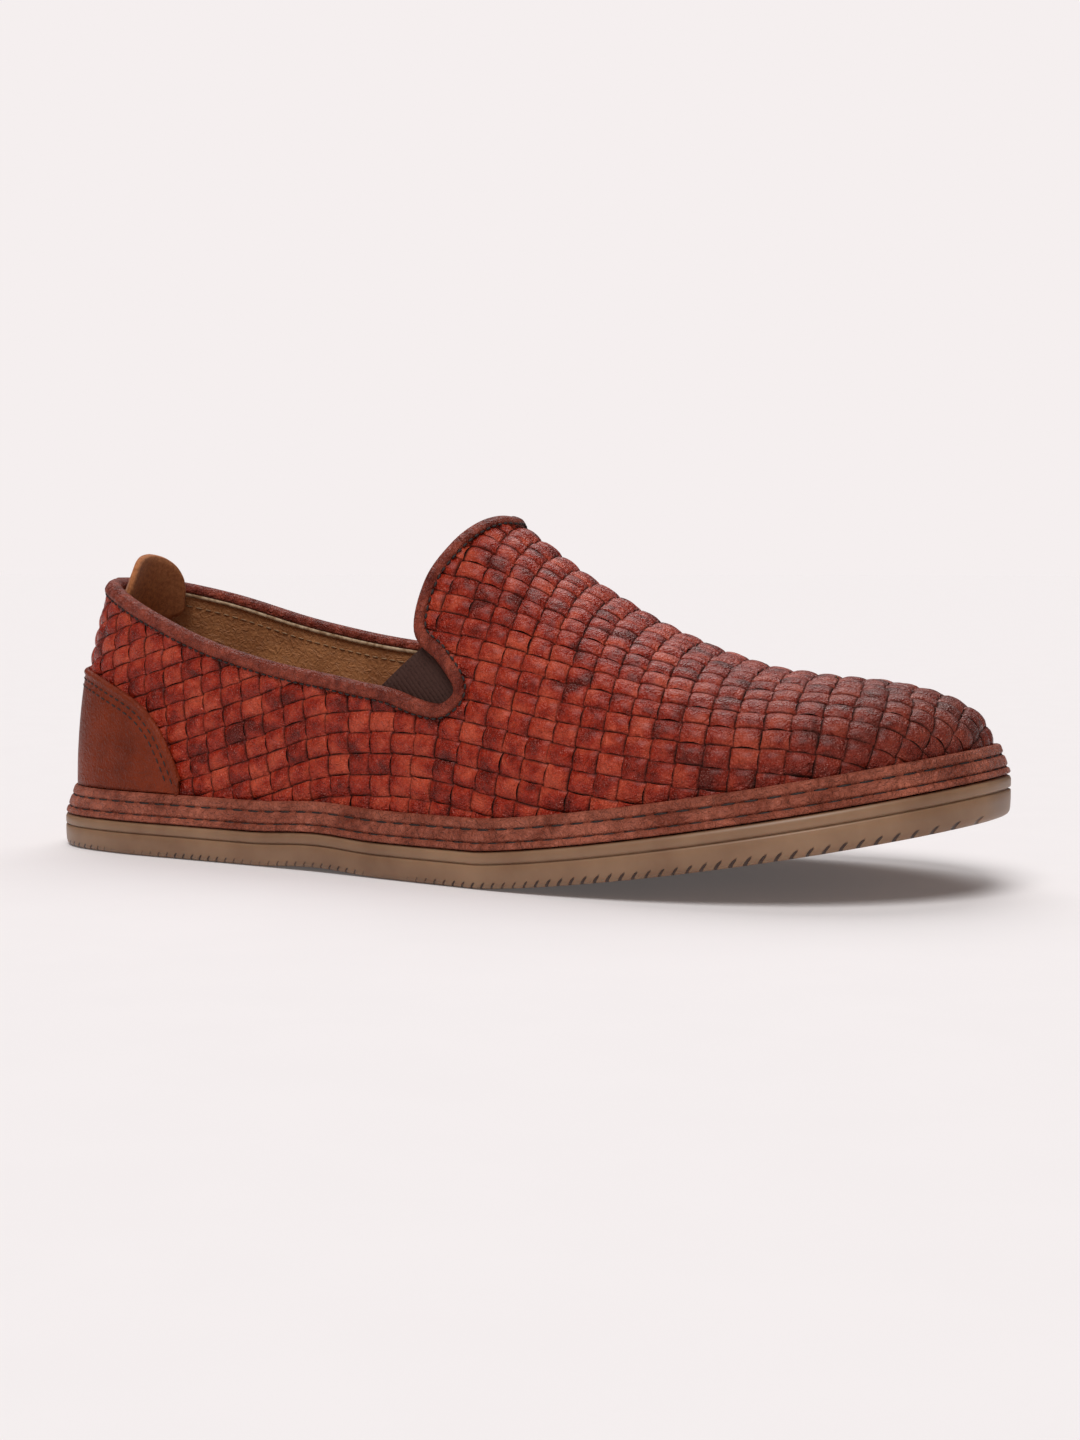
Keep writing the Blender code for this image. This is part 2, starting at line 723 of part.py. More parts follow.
def make_strap():
    """Narrow strap down the heel seam, over the binding's outer leg."""
    half = STRAP_WIDTH / 2 / (SECTIONS[1][3] * BALL_WIDTH)
    edge = TOPLINE[0][2]
    on_weave, on_binding = BINDING_SEAT, BINDING_SEAT + BINDING_THICKNESS + GAP
    levels = ((0.345, on_weave), (0.42, on_weave), (0.47, on_weave + 0.0003), (0.503, on_binding),
              (edge, on_binding))
    columns = []
    for number in range(5):
        turn = half * (number / 2 - 1)
        columns.append([last(turn, rise) + surface_normal(turn, rise) * seat for rise, seat in levels])
    add("back_strap", thicken(sheet(columns), STRAP_THICKNESS, 0.0), (0.07, 0.022, 0.014), 0.5)


for old in list(bpy.data.objects):
    bpy.data.objects.remove(old, do_unlink=True)

make_outsole()
make_band()
make_insole()
make_upper()
make_counter()
make_binding()
make_gore(0, "gore_lateral")
make_gore(1, "gore_medial")
make_tab()
make_strap()
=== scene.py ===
"""Looks of the right slip-on shoe with a woven leather upper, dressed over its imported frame.

Metres, +Z up: the toe points along +X and the outer side of the foot faces -Y. A place around the
shoe is a turn: it counts the rows of SECTIONS from the heel along the outer side to the toe, and on
along the inner side back to the heel.
"""
import math
import random

import bmesh
import bpy
from mathutils import Matrix, Vector
from mathutils.bvhtree import BVHTree
from mathutils.geometry import barycentric_transform


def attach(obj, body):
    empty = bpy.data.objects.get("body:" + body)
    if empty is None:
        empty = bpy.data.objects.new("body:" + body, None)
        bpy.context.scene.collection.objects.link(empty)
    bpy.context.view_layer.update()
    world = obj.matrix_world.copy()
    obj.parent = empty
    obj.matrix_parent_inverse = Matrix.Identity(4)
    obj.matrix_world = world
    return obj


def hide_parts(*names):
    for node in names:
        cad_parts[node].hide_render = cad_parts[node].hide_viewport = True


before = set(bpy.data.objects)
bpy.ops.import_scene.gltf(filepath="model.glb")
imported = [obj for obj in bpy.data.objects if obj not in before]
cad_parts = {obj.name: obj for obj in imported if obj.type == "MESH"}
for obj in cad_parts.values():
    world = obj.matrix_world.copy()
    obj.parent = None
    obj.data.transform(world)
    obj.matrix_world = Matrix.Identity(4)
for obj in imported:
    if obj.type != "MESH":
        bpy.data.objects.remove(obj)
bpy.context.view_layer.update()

# The last: the foot-shaped form that the shoe is pulled over. Every piece of leather and the rubber
# below it take their shape from this one surface.
LENGTH = 0.292
BALL_WIDTH = 0.104
INSTEP_HEIGHT = 0.0817
SOLE_THICKNESS = 0.0098
TOE_THICKENING = 0.001
TOE_SPRING = 0.020
ARCH_HEIGHT = 0.0010
BAND_HEIGHT = 0.0085
BAND_THICKNESS = 0.0017
BAND_LEAN = 0.0029
GAP = 0.0003
# Shares of LENGTH where the sole leaves the floor
ARCH_START, ARCH_END = 0.30, 0.46
SPRING_START, SPRING_POWER = 0.57, 1.25

# Each row is one section of the last: outer x, outer y, inner x, inner y, ridge x, ridge height,
# how straight the side rises, how wide the crown is, and the ridge's slope.
# Shares: x of LENGTH from the heel, y of BALL_WIDTH, height of INSTEP_HEIGHT above the band.
SECTIONS = [
    (0.000, 0.000, 0.000, 0.000, 0.144, 1.070, 0.40, 0.70, 0.00),
    (0.017, -0.173, 0.017, 0.173, 0.144, 1.070, 0.40, 0.70, 0.00),
    (0.058, -0.293, 0.058, 0.293, 0.144, 1.070, 0.40, 0.68, 0.00),
    (0.130, -0.351, 0.130, 0.346, 0.171, 1.100, 0.40, 0.66, 0.00),
    (0.223, -0.370, 0.223, 0.346, 0.247, 1.120, 0.40, 0.66, 0.00),
    (0.325, -0.389, 0.325, 0.332, 0.325, 1.135, 0.42, 0.64, 0.00),
    (0.428, -0.423, 0.428, 0.337, 0.411, 1.110, 0.45, 0.60, -0.25),
    (0.531, -0.466, 0.531, 0.375, 0.497, 1.000, 0.50, 0.54, -0.58),
    (0.627, -0.500, 0.627, 0.433, 0.579, 0.794, 0.54, 0.52, -0.66),
    (0.719, -0.505, 0.719, 0.490, 0.661, 0.581, 0.58, 0.52, -0.50),
    (0.808, -0.471, 0.808, 0.505, 0.747, 0.411, 0.60, 0.52, -0.27),
    (0.890, -0.389, 0.890, 0.466, 0.812, 0.329, 0.64, 0.52, -0.12),
    (0.955, -0.250, 0.959, 0.346, 0.849, 0.292, 0.68, 0.54, -0.07),
    (0.991, -0.087, 0.993, 0.183, 0.849, 0.292, 0.68, 0.54, -0.07),
    (1.000, 0.058, 1.000, 0.058, 0.849, 0.292, 0.68, 0.54, -0.07),
]
LAST_ROW = len(SECTIONS) - 1
FAN_ROW = 12
FULL_TURN = 2 * LAST_ROW

# The opening's edge: the row a line of the wall starts from at the band, the row where it ends,
# and how far up its section it ends, on the outer and on the inner side.
TOPLINE = [
    (0.00, 0.00, 0.550, 0.550),
    (1.00, 1.00, 0.545, 0.545),
    (2.00, 2.02, 0.525, 0.530),
    (3.00, 3.05, 0.449, 0.478),
    (4.00, 4.05, 0.364, 0.411),
    (5.00, 5.10, 0.296, 0.350),
    (5.60, 5.75, 0.268, 0.318),
    (6.10, 6.25, 0.259, 0.286),
    (6.55, 6.62, 0.240, 0.256),
    (6.90, 6.88, 0.240, 0.250),
    (7.10, 7.03, 0.285, 0.290),
    (7.28, 6.80, 0.350, 0.352),
    (7.45, 6.52, 0.405, 0.405),
    (7.60, 6.56, 0.540, 0.540),
    (7.75, 6.76, 0.680, 0.680),
    (7.90, 6.98, 0.830, 0.830),
    (8.05, 7.20, 1.000, 1.000),
]

UPPER_INSET = 0.0058
BEND_START, BEND_END, NOTCH_BEND = 7.6, 9.5, 3.0


def blend(table, place):
    """Smooth values between the rows of a table, at a row number that may have a fraction."""
    place = min(max(place, 0.0), len(table) - 1)
    row = min(int(place), len(table) - 2)
    part = place - row
    before, start = table[max(row - 1, 0)], table[row]
    end, after = table[row + 1], table[min(row + 2, len(table) - 1)]
    return [catmull(a, b, c, d, part) for a, b, c, d in zip(before, start, end, after)]


def catmull(a, b, c, d, part):
    """The curve through b and c whose slopes follow a and d."""
    linear = (c - a) * part
    square = (2 * a - 5 * b + 4 * c - d) * part ** 2
    cube = (3 * b - a - 3 * c + d) * part ** 3
    return b + 0.5 * (linear + square + cube)


def outline(turn):
    """The sole's outline, a closed curve through the sections' outer and inner points."""
    def point(number):
        number %= FULL_TURN
        row = SECTIONS[min(number, FULL_TURN - number)]
        x, y = row[0:2] if number <= LAST_ROW else row[2:4]
        return x * LENGTH - LENGTH / 2, y * BALL_WIDTH
    number = math.floor(turn)
    near = [point(number + step) for step in (-1, 0, 1, 2)]
    return Vector([catmull(*values, turn - number) for values in zip(*near)])


def rim(turn, inset):
    """A point of the outline moved in towards the middle of the sole."""
    step = 0.02
    run = outline(turn + step) - outline(turn - step)
    out = Vector((run.y, -run.x)).normalized()
    return outline(turn) - out * inset


def floor_lift(x):
    """How far the sole is off the floor: a low arch, then the toe spring."""
    share = x / LENGTH + 0.5
    if share > SPRING_START:
        return TOE_SPRING * ((share - SPRING_START) / (1 - SPRING_START)) ** SPRING_POWER
    if ARCH_START < share < ARCH_END:
        return ARCH_HEIGHT * math.sin(math.pi * (share - ARCH_START) / (ARCH_END - ARCH_START)) ** 2
    return 0.0


def rubber(x):
    """Thickness of the rubber sole, a little more towards the toe."""
    return SOLE_THICKNESS + TOE_THICKENING * max(0.0, 2 * x / LENGTH)


def sole_top(x):
    return floor_lift(x) + rubber(x)


def band_top(x):
    return sole_top(x) + BAND_HEIGHT


def foot(turn):
    """Where the upper comes out of the band."""
    x, y = rim(turn, UPPER_INSET)
    return Vector((x, y, band_top(x)))


def last(turn, rise):
    """The last's surface: rise is 0 at the band and 1 on the ridge."""
    turn %= FULL_TURN
    ridge_x, height, straight, crown, slope = blend(SECTIONS, min(turn, FULL_TURN - turn))[4:]
    x = ridge_x * LENGTH - LENGTH / 2
    ridge = Vector((x, 0.0, band_top(x) + height * INSTEP_HEIGHT))
    start = foot(turn)
    reach = start - ridge
    side = start + Vector((0, 0, -reach.z * straight))
    top = ridge + crown * Vector((reach.x, reach.y, slope * reach.x))
    fall = 1 - rise
    return (start * fall ** 3 + side * 3 * rise * fall ** 2
            + top * 3 * rise ** 2 * fall + ridge * rise ** 3)


def surface_normal(turn, rise):
    """Outward direction of the last, away from its ridge."""
    step = 0.01
    rise = min(max(rise, step), 1 - 2 * step)
    along = last(turn + step, rise) - last(turn - step, rise)
    upwards = last(turn, rise + step) - last(turn, rise - step)
    return along.cross(upwards).normalized()


def moved(turn, rise, way):
    """The turn and rise of the place that lies a short way from another one."""
    step = 0.01
    along = (last(turn + step, rise) - last(turn - step, rise)) / 2 / step
    upwards = (last(turn, rise + step) - last(turn, rise - step)) / 2 / step
    across = along.dot(upwards)
    area = along.length_squared * upwards.length_squared - across * across
    more = (way.dot(along) * upwards.length_squared - way.dot(upwards) * across) / area
    higher = (way.dot(upwards) * along.length_squared - way.dot(along) * across) / area
    return turn + more, rise + higher


def place_on(side, row):
    """The turn of a row on the outer (0) or inner (1) side."""
    return FULL_TURN - row if side else row


def wall_lines(table, side, steps):
    """Lines up the wall: each is its starting row, its ending row and its ending rise."""
    lines = []
    for step in range((len(table) - 1) * steps + 1):
        start, end, outer, inner = blend(table, step / steps)
        lines.append((start, end, inner if side else outer))
    return lines


def vamp_lines(count):
    """Lines of the vamp from the throat to the toe, which all end on the ridge."""
    throat, edge = TOPLINE[-1][:2]
    lines = []
    for step in range(1, count + 1):
        row = throat + (LAST_ROW - throat) * step / count
        near = min(1.0, (row - throat) / (FAN_ROW - throat))
        end = edge + (FAN_ROW - edge) * near if row < FAN_ROW else row
        lines.append((row, end, 1.0))
    return lines


def line_place(line, share):
    """Row and rise of a place on a line up the wall; lines near the notch lean back only high up."""
    start, end, rise = line
    ahead = (BEND_END - start) / (BEND_END - BEND_START)
    bend = 1 + NOTCH_BEND * min(max(ahead, 0.0), 1.0)
    return start + (end - start) * share ** bend, rise * share


def line_point(side, line, share):
    """A point of a line up the wall."""
    row, rise = line_place(line, share)
    return last(place_on(side, row), rise)


def topline_stations(steps):
    """Turn and rise of places on the opening's edge, around it once."""
    stations = []
    for side in (0, 1):
        lines = wall_lines(TOPLINE, side, steps)
        here = [(place_on(side, end), rise) for _, end, rise in lines]
        stations += reversed(here[1:-1]) if side else here
    return stations


def skin(columns, rows, place):
    """A grid of faces whose corners lie where place(column, row) says; ends that meet are joined."""
    bm = bmesh.new()
    bm.loops.layers.uv.new("UVMap")
    bmesh.ops.create_grid(bm, x_segments=columns, y_segments=rows, size=0.5, calc_uvs=True)
    for vert in bm.verts:
        vert.co = place(round((vert.co.x + 0.5) * columns), round((vert.co.y + 0.5) * rows))
    bmesh.ops.remove_doubles(bm, verts=bm.verts[:], dist=0.00001)
    return bm


def piece(name, bm, material, slot, *nodes):
    """Put a finished mesh in the scene: it rides on the shoe and stands for the named CAD nodes."""
    mesh = bpy.data.meshes.new(name)
    bm.to_mesh(mesh)
    bm.free()
    mesh.shade_smooth()
    mesh.materials.append(material)
    obj = bpy.data.objects.new(name, mesh)
    bpy.context.scene.collection.objects.link(obj)
    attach(obj, "root")
    if nodes:
        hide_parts(*nodes)
    return obj


def new_material(name, roughness, **sockets):
    """A material with its shader's own values set; returns it with its node tree and its shader."""
    material = bpy.data.materials.new(name)
    material.use_nodes = True
    shader = material.node_tree.nodes["Principled BSDF"]
    shader.inputs["Roughness"].default_value = roughness
    for socket, value in sockets.items():
        shader.inputs[socket.replace("_", " ")].default_value = value
    return material, material.node_tree, shader


def node(tree, kind, links=(), **values):
    """Add a node; links are pairs of its input and the output that feeds it."""
    made = tree.nodes.new(kind)
    for key, value in values.items():
        if hasattr(made, key):
            setattr(made, key, value)
        else:
            made.inputs[key.replace("_", " ")].default_value = value
    for socket, source in links:
        tree.links.new(source, made.inputs[socket])
    return made


def ramp(tree, source, stops):
    """A colour ramp over a value, from pairs of place and colour."""
    made = tree.nodes.new("ShaderNodeValToRGB")
    while len(made.color_ramp.elements) < len(stops):
        made.color_ramp.elements.new(0.5)
    for element, (place, colour) in zip(made.color_ramp.elements, stops):
        element.position = place
        element.color = (*colour, 1.0)
    tree.links.new(source, made.inputs["Fac"])
    return made


def leather_group():
    """Grain shared by every leather: blotches of colour, pebbles and fine creases."""
    group = bpy.data.node_groups.new("leather_grain", "ShaderNodeTree")
    face = group.interface
    face.new_socket("Vector", in_out="INPUT", socket_type="NodeSocketVector")
    for name, value in (("Blotches", 70.0), ("Pebbles", 900.0), ("Creases", 320.0)):
        socket = face.new_socket(name, in_out="INPUT", socket_type="NodeSocketFloat")
        socket.default_value = value
    face.new_socket("Tone", in_out="OUTPUT", socket_type="NodeSocketFloat")
    face.new_socket("Height", in_out="OUTPUT", socket_type="NodeSocketFloat")
    start = group.nodes.new("NodeGroupInput")
    end = group.nodes.new("NodeGroupOutput")
    blotches = node(group, "ShaderNodeTexNoise", [("Vector", start.outputs["Vector"]),
                    ("Scale", start.outputs["Blotches"])], Detail=3.0, Roughness=0.6)
    creases = node(group, "ShaderNodeTexNoise", [("Vector", start.outputs["Vector"]),
                   ("Scale", start.outputs["Creases"])], Detail=4.0, Roughness=0.55, Distortion=1.2)
    pebbles = node(group, "ShaderNodeTexVoronoi", [("Vector", start.outputs["Vector"]),
                   ("Scale", start.outputs["Pebbles"])])
    fold = node(group, "ShaderNodeMath", [(0, creases.outputs["Fac"])], operation="SUBTRACT")
    fold.inputs[1].default_value = 0.5
    sharp = node(group, "ShaderNodeMath", [(0, fold.outputs[0])], operation="ABSOLUTE")
    grain = node(group, "ShaderNodeMath", [(0, pebbles.outputs["Distance"])], operation="MULTIPLY")
    grain.inputs[1].default_value = -0.35
    height = node(group, "ShaderNodeMath", [(0, sharp.outputs[0]), (2, grain.outputs[0])],
                  operation="MULTIPLY_ADD")
    height.inputs[1].default_value = 2.5
    group.links.new(blotches.outputs["Fac"], end.inputs["Tone"])
    group.links.new(height.outputs[0], end.inputs["Height"])
    return group


GRAIN = leather_group()


def leather(name, dark, light, roughness, bump, blotches=70.0, pebbles=900.0, creases=320.0, **sockets):
    """Leather between a dark and a light tone, with its grain as a bump of so many metres."""
    material, tree, shader = new_material(name, roughness, **sockets)
    place = node(tree, "ShaderNodeTexCoord")
    grain = node(tree, "ShaderNodeGroup", node_tree=GRAIN)
    tree.links.new(place.outputs["Object"], grain.inputs["Vector"])
    for socket, value in (("Blotches", blotches), ("Pebbles", pebbles), ("Creases", creases)):
        grain.inputs[socket].default_value = value
    tone = ramp(tree, grain.outputs["Tone"], [(0.3, dark), (0.7, light)])
    tree.links.new(tone.outputs["Color"], shader.inputs["Base Color"])
    lift = node(tree, "ShaderNodeBump", [("Height", grain.outputs["Height"])], Strength=1.0, Distance=bump)
    tree.links.new(lift.outputs["Normal"], shader.inputs["Normal"])
    return material, tree, shader


# The outsole: one moulding of tan-brown rubber. Its side has a parting groove a third of the way down,
# and groups of short slanting nicks are cut into its lower edge.
SOLE_COLUMNS_A_ROW = 10
SOLE_SIDE = (
    (0.0030, 0.000), (0.0016, 0.012), (0.0008, 0.045), (0.0003, 0.100), (0.0001, 0.200), (0.0000, 0.400),
    (0.0000, 0.600), (0.0002, 0.635), (0.0006, 0.650), (0.0007, 0.665), (0.0006, 0.680), (0.0001, 0.695),
    (0.0000, 0.730), (0.0000, 0.880), (0.0003, 0.950), (0.0009, 0.990), (0.0018, 1.000))
SOLE_ACROSS = (0.85, 0.6, 0.3, 0.0)
# How far up the sole's rows the nicks end, as a share of them
NICK_ROW = 0.32


def toward_middle(point, share):
    """Move a point of the sole's edge towards the line through its middle."""
    end = LENGTH / 2 - BALL_WIDTH / 2
    middle = Vector((min(max(point.x, -end), end), 0.0))
    return middle + (point - middle) * share


def sole_point(column, row):
    turn = column / SOLE_COLUMNS_A_ROW
    low = len(SOLE_ACROSS)
    high = low + len(SOLE_SIDE)
    if row < low:
        x, y = toward_middle(rim(turn, SOLE_SIDE[0][0]), SOLE_ACROSS[-1 - row])
        return x, y, floor_lift(x)
    if row < high:
        inset, share = SOLE_SIDE[row - low]
        x, y = rim(turn, inset)
        return x, y, floor_lift(x) + share * rubber(x)
    x, y = toward_middle(rim(turn, SOLE_SIDE[-1][0]), SOLE_ACROSS[row - high])
    return x, y, sole_top(x)


def sole_material():
    material, tree, shader = new_material("tan_rubber", 0.42, Specular_IOR_Level=0.45,
                                          Subsurface_Weight=0.12, Subsurface_Scale=0.004)
    place = node(tree, "ShaderNodeTexCoord")
    where = node(tree, "ShaderNodeSeparateXYZ", [("Vector", place.outputs["Object"])])
    # slanting nicks: bands of a saw wave along the side, kept to groups by a slow noise
    slant = node(tree, "ShaderNodeMath", [(0, where.outputs["Z"]), (2, where.outputs["X"])],
                 operation="MULTIPLY_ADD")
    slant.inputs[1].default_value = -0.75
    bands = node(tree, "ShaderNodeMath", [(0, slant.outputs[0])], operation="MULTIPLY")
    bands.inputs[1].default_value = 2 * math.pi / 0.0031
    wave = node(tree, "ShaderNodeMath", [(0, bands.outputs[0])], operation="SINE")
    groups = node(tree, "ShaderNodeTexNoise", [("Vector", place.outputs["Object"])], Scale=26.0, Detail=1.0)
    cut = node(tree, "ShaderNodeMath", [(0, wave.outputs[0]), (1, groups.outputs["Fac"])],
               operation="MULTIPLY")
    grid = node(tree, "ShaderNodeSeparateXYZ", [("Vector", place.outputs["UV"])])
    low = node(tree, "ShaderNodeMapRange", [("Value", grid.outputs["Y"])])
    low.inputs["From Min"].default_value = NICK_ROW + 0.05
    low.inputs["From Max"].default_value = NICK_ROW
    edge_cut = node(tree, "ShaderNodeMath", [(0, cut.outputs[0]), (1, low.outputs[0])],
                    operation="MULTIPLY")
    nick_and_shade = node(tree, "ShaderNodeMapRange", [("Value", edge_cut.outputs[0])])
    nick_and_shade.inputs["From Min"].default_value = 0.36
    nick_and_shade.inputs["From Max"].default_value = 0.50
    tone = node(tree, "ShaderNodeTexNoise", [("Vector", place.outputs["Object"])], Scale=55.0, Detail=4.0)
    base = ramp(tree, tone.outputs["Fac"], [(0.3, (0.20, 0.102, 0.054)), (0.7, (0.31, 0.178, 0.100))])
    # the nicks are cut by the bump and also painted near black, a painted shade inside the cuts
    colour = node(tree, "ShaderNodeMix", [("Factor", nick_and_shade.outputs[0]), (6, base.outputs["Color"])],
                  data_type="RGBA")
    colour.inputs[7].default_value = (0.05, 0.022, 0.014, 1)
    tree.links.new(colour.outputs[2], shader.inputs["Base Color"])
    lift = node(tree, "ShaderNodeBump", [("Height", nick_and_shade.outputs[0])], Strength=0.8, Distance=-0.0005)
    tree.links.new(lift.outputs["Normal"], shader.inputs["Normal"])
    return material


sole = skin(FULL_TURN * SOLE_COLUMNS_A_ROW, len(SOLE_SIDE) + 2 * len(SOLE_ACROSS) - 1, sole_point)
bmesh.ops.recalc_face_normals(sole, faces=sole.faces[:])
piece("rubber_outsole", sole, sole_material(), "outsole", "outsole")

# The insole: a footbed of tan leather over cork, which lies on the rubber inside the upper.
insole_leather, _, _ = leather("insole_leather", (0.16, 0.085, 0.045), (0.26, 0.15, 0.08), 0.6, 0.00025)
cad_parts["insole"].data.materials.clear()
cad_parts["insole"].data.materials.append(insole_leather)

# The band: a strip of pebbled red-brown leather stood around the sole's edge. Two stitched grooves
# part it into three beads.
BAND_COLUMNS_A_ROW = 12
BAND_GROOVES = (-0.02, 0.224, 0.647, 1.02)
BAND_LEVELS = 30
STITCH_LENGTH, STITCH_PITCH = 0.0044, 0.0058
# Inset and depth below the top of the rows over the band's edge and down its back
BAND_BACK = (
    (0.0041, 0.0), (0.0054, 0.0016), (0.0054, BAND_HEIGHT - GAP), (0.0000, BAND_HEIGHT - GAP))


def bead_inset(share):
    """How far the band's face lies in from its widest: it is least in the middle of each bead."""
    for low, high in zip(BAND_GROOVES, BAND_GROOVES[1:]):
        if share <= high:
            side = abs(2 * (share - low) / (high - low) - 1)
            return 0.0011 * side ** 5 + BAND_LEAN * share
    return BAND_LEAN * share


def band_point(column, row):
    """Up the band's face, over its top edge, and down behind it to where the face began."""
    turn = column / BAND_COLUMNS_A_ROW
    share = min(row, BAND_LEVELS) / BAND_LEVELS
    inset, sink = bead_inset(share), 0.0
    if row > BAND_LEVELS:
        inset, sink = BAND_BACK[row - BAND_LEVELS - 1]
        if row == BAND_LEVELS + len(BAND_BACK):
            inset = bead_inset(0)
    x, y = rim(turn, inset)
    return x, y, sole_top(x) + GAP + share * (BAND_HEIGHT - GAP) - sink


def stitches(bm, spots, length, pitch, width, start=0.0):
    """Lay stitches end to end along a line of (place, outward direction) spots."""
    done = start
    for (here, out), (there, _) in zip(spots, spots[1:]):
        run = there - here
        while done < run.length:
            way = run.normalized()
            side = out.cross(way).normalized()
            up = way.cross(side)
            turn = Matrix((way, side, up)).transposed().to_4x4()
            size = Matrix.Diagonal((length / 2, width / 2, width * 0.42, 1.0))
            place = Matrix.Translation(here + way * done)
            bmesh.ops.create_uvsphere(bm, u_segments=6, v_segments=5, radius=1.0,
                                      matrix=place @ turn @ size)
            done += pitch
        done -= run.length


def thread_material(name, colour):
    material, tree, shader = new_material(name, 0.7)
    place = node(tree, "ShaderNodeTexCoord")
    twist = node(tree, "ShaderNodeTexNoise", [("Vector", place.outputs["Object"])], Scale=2500.0)
    dark = tuple(0.55 * value for value in colour)
    tone = ramp(tree, twist.outputs["Fac"], [(0.35, dark), (0.65, colour)])
    tree.links.new(tone.outputs["Color"], shader.inputs["Base Color"])
    return material


band_leather, _, _ = leather("band_leather", (0.22, 0.044, 0.022), (0.46, 0.130, 0.076), 0.42, 0.0018,
                             blotches=90.0, pebbles=900.0, creases=300.0, Specular_IOR_Level=0.25)
band = skin(FULL_TURN * BAND_COLUMNS_A_ROW, BAND_LEVELS + len(BAND_BACK), band_point)
bmesh.ops.recalc_face_normals(band, faces=band.faces[:])
piece("stitched_band", band, band_leather, "welt_band", "welt_band")

dark_thread = thread_material("dark_thread", (0.022, 0.012, 0.010))
rows = bmesh.new()
for share in BAND_GROOVES[1:3]:
    spots = []
    for step in range(FULL_TURN * 24 + 1):
        turn = step / 24
        x, y = rim(turn, bead_inset(share) - 0.0003)
        out = rim(turn, 0.0) - rim(turn, 0.01)
        spots.append((Vector((x, y, sole_top(x) + share * BAND_HEIGHT)), out.to_3d().normalized()))
    stitches(rows, spots, STITCH_LENGTH, STITCH_PITCH, 0.0010)
piece("band_stitches", rows, dark_thread, "welt_band")

# The woven upper: cognac strips of glossy grained leather in a plain weave, one set along the shoe
# and one across it. Each strip arches over one strip and dives under the next.
CROSS_STRIP = 0.0069
LONG_STRIP = 0.0058
WEAVE_TURN = math.radians(14)
ARM_HEADING = math.radians(-3)
ARM_BEND_ROWS = 3.5
PLAN_STEP = 0.25
TOPLINE_STEPS, VAMP_LINES, LINE_STEPS = 10, 70, 36
ALONG_CELL, ACROSS_STRIP = 10, 6
WALL_IN_BAND = 0.0030
OVER, UNDER = 0.0009, -0.0009
STRIP_CROWN, EDGE_DROP = 0.00050, 0.00020


def woven_column(side, line, plan):
    """Place, direction and flat place of points from inside the band to the topline or the ridge."""
    column = []
    for step in range(LINE_STEPS + 1):
        row, rise = line_place(line, step / LINE_STEPS)
        turn = place_on(side, row)
        laid, way = flat_place(plan, row, rise)
        normal = surface_normal(turn, rise)
        if step == 0:
            low = last(turn, 0) - Vector((0, 0, WALL_IN_BAND))
            column.append((low, normal, turned(laid - way * WALL_IN_BAND)))
        column.append((last(turn, rise), normal, turned(laid)))
    return column


def turned(point):
    """The flat plan turned to the strips' own directions."""
    cosine, sine = math.cos(WEAVE_TURN), math.sin(WEAVE_TURN)
    return Vector((point.x * cosine + point.y * sine, point.y * cosine - point.x * sine))


def flat_plan(side):
    """Straight lines of the flat plan: start and end row, flat foot, flat way, lengths up the line.

    The ridge is straight there, from the toe's pivot towards -X. Heelwards of the throat the feet
    keep their true distances, and bend to run along the ridge.
    """
    out = 1 if side else -1
    throat, edge = TOPLINE[-1][:2]
    plan = []
    ridge, before = 0.0, None
    for start, end in [line[:2] for line in reversed(vamp_lines(VAMP_LINES))] + [(throat, edge)]:
        points, lengths = plan_line(side, start, end)
        ridge += (points[-1] - before).length if before else 0.0
        before = points[-1]
        lean = math.atan2(points[0].x - before.x, out * (points[0].y - before.y))
        way = Vector((-math.sin(lean), -out * math.cos(lean)))
        plan.append((start, end, Vector((-ridge, 0)) - way * lengths[-1], way, lengths))
    ahead = plan[-1][2] - plan[-2][2]
    heading = math.atan2(out * ahead.y, -ahead.x)
    row = throat
    while row > 0:
        before = last(place_on(side, row), 0)
        row = max(0.0, row - PLAN_STEP)
        share = min(1.0, (throat - row) / ARM_BEND_ROWS)
        share = share * share * (3 - 2 * share)
        end = row - (throat - edge) * (1 - share)
        points, lengths = plan_line(side, row, end)
        bend = heading + (ARM_HEADING - heading) * share
        tilt = lean + (-ARM_HEADING - lean) * share
        ahead = Vector((-math.cos(bend), out * math.sin(bend))) * (points[0] - before).length
        way = Vector((-math.sin(tilt), -out * math.cos(tilt)))
        plan.append((row, end, plan[-1][2] + ahead, way, lengths))
    return plan[::-1]


def plan_line(side, start, end):
    """Points straight up from the band to the ridge, and the lengths up to them."""
    shares = [step / LINE_STEPS for step in range(LINE_STEPS + 1)]
    points = [last(place_on(side, start + (end - start) * share), share) for share in shares]
    lengths = [0.0]
    for low, high in zip(points, points[1:]):
        lengths.append(lengths[-1] + (high - low).length)
    return points, lengths


def flat_place(plan, row, rise):
    """Where a place lies in the flat plan, and the way upwards there."""
    level = rise * LINE_STEPS
    low = min(int(level), LINE_STEPS - 1)
    number = 0
    rows = [start + (end - start) * rise for start, end, _, _, _ in plan]
    while number < len(plan) - 2 and rows[number + 1] < row:
        number += 1
    share = (row - rows[number]) / (rows[number + 1] - rows[number])
    spots = []
    for _, _, foot_flat, way, lengths in plan[number:number + 2]:
        length = lengths[low] + (lengths[low + 1] - lengths[low]) * (level - low)
        spots.append(foot_flat + way * length)
    return spots[0] + (spots[1] - spots[0]) * share, plan[number][3]


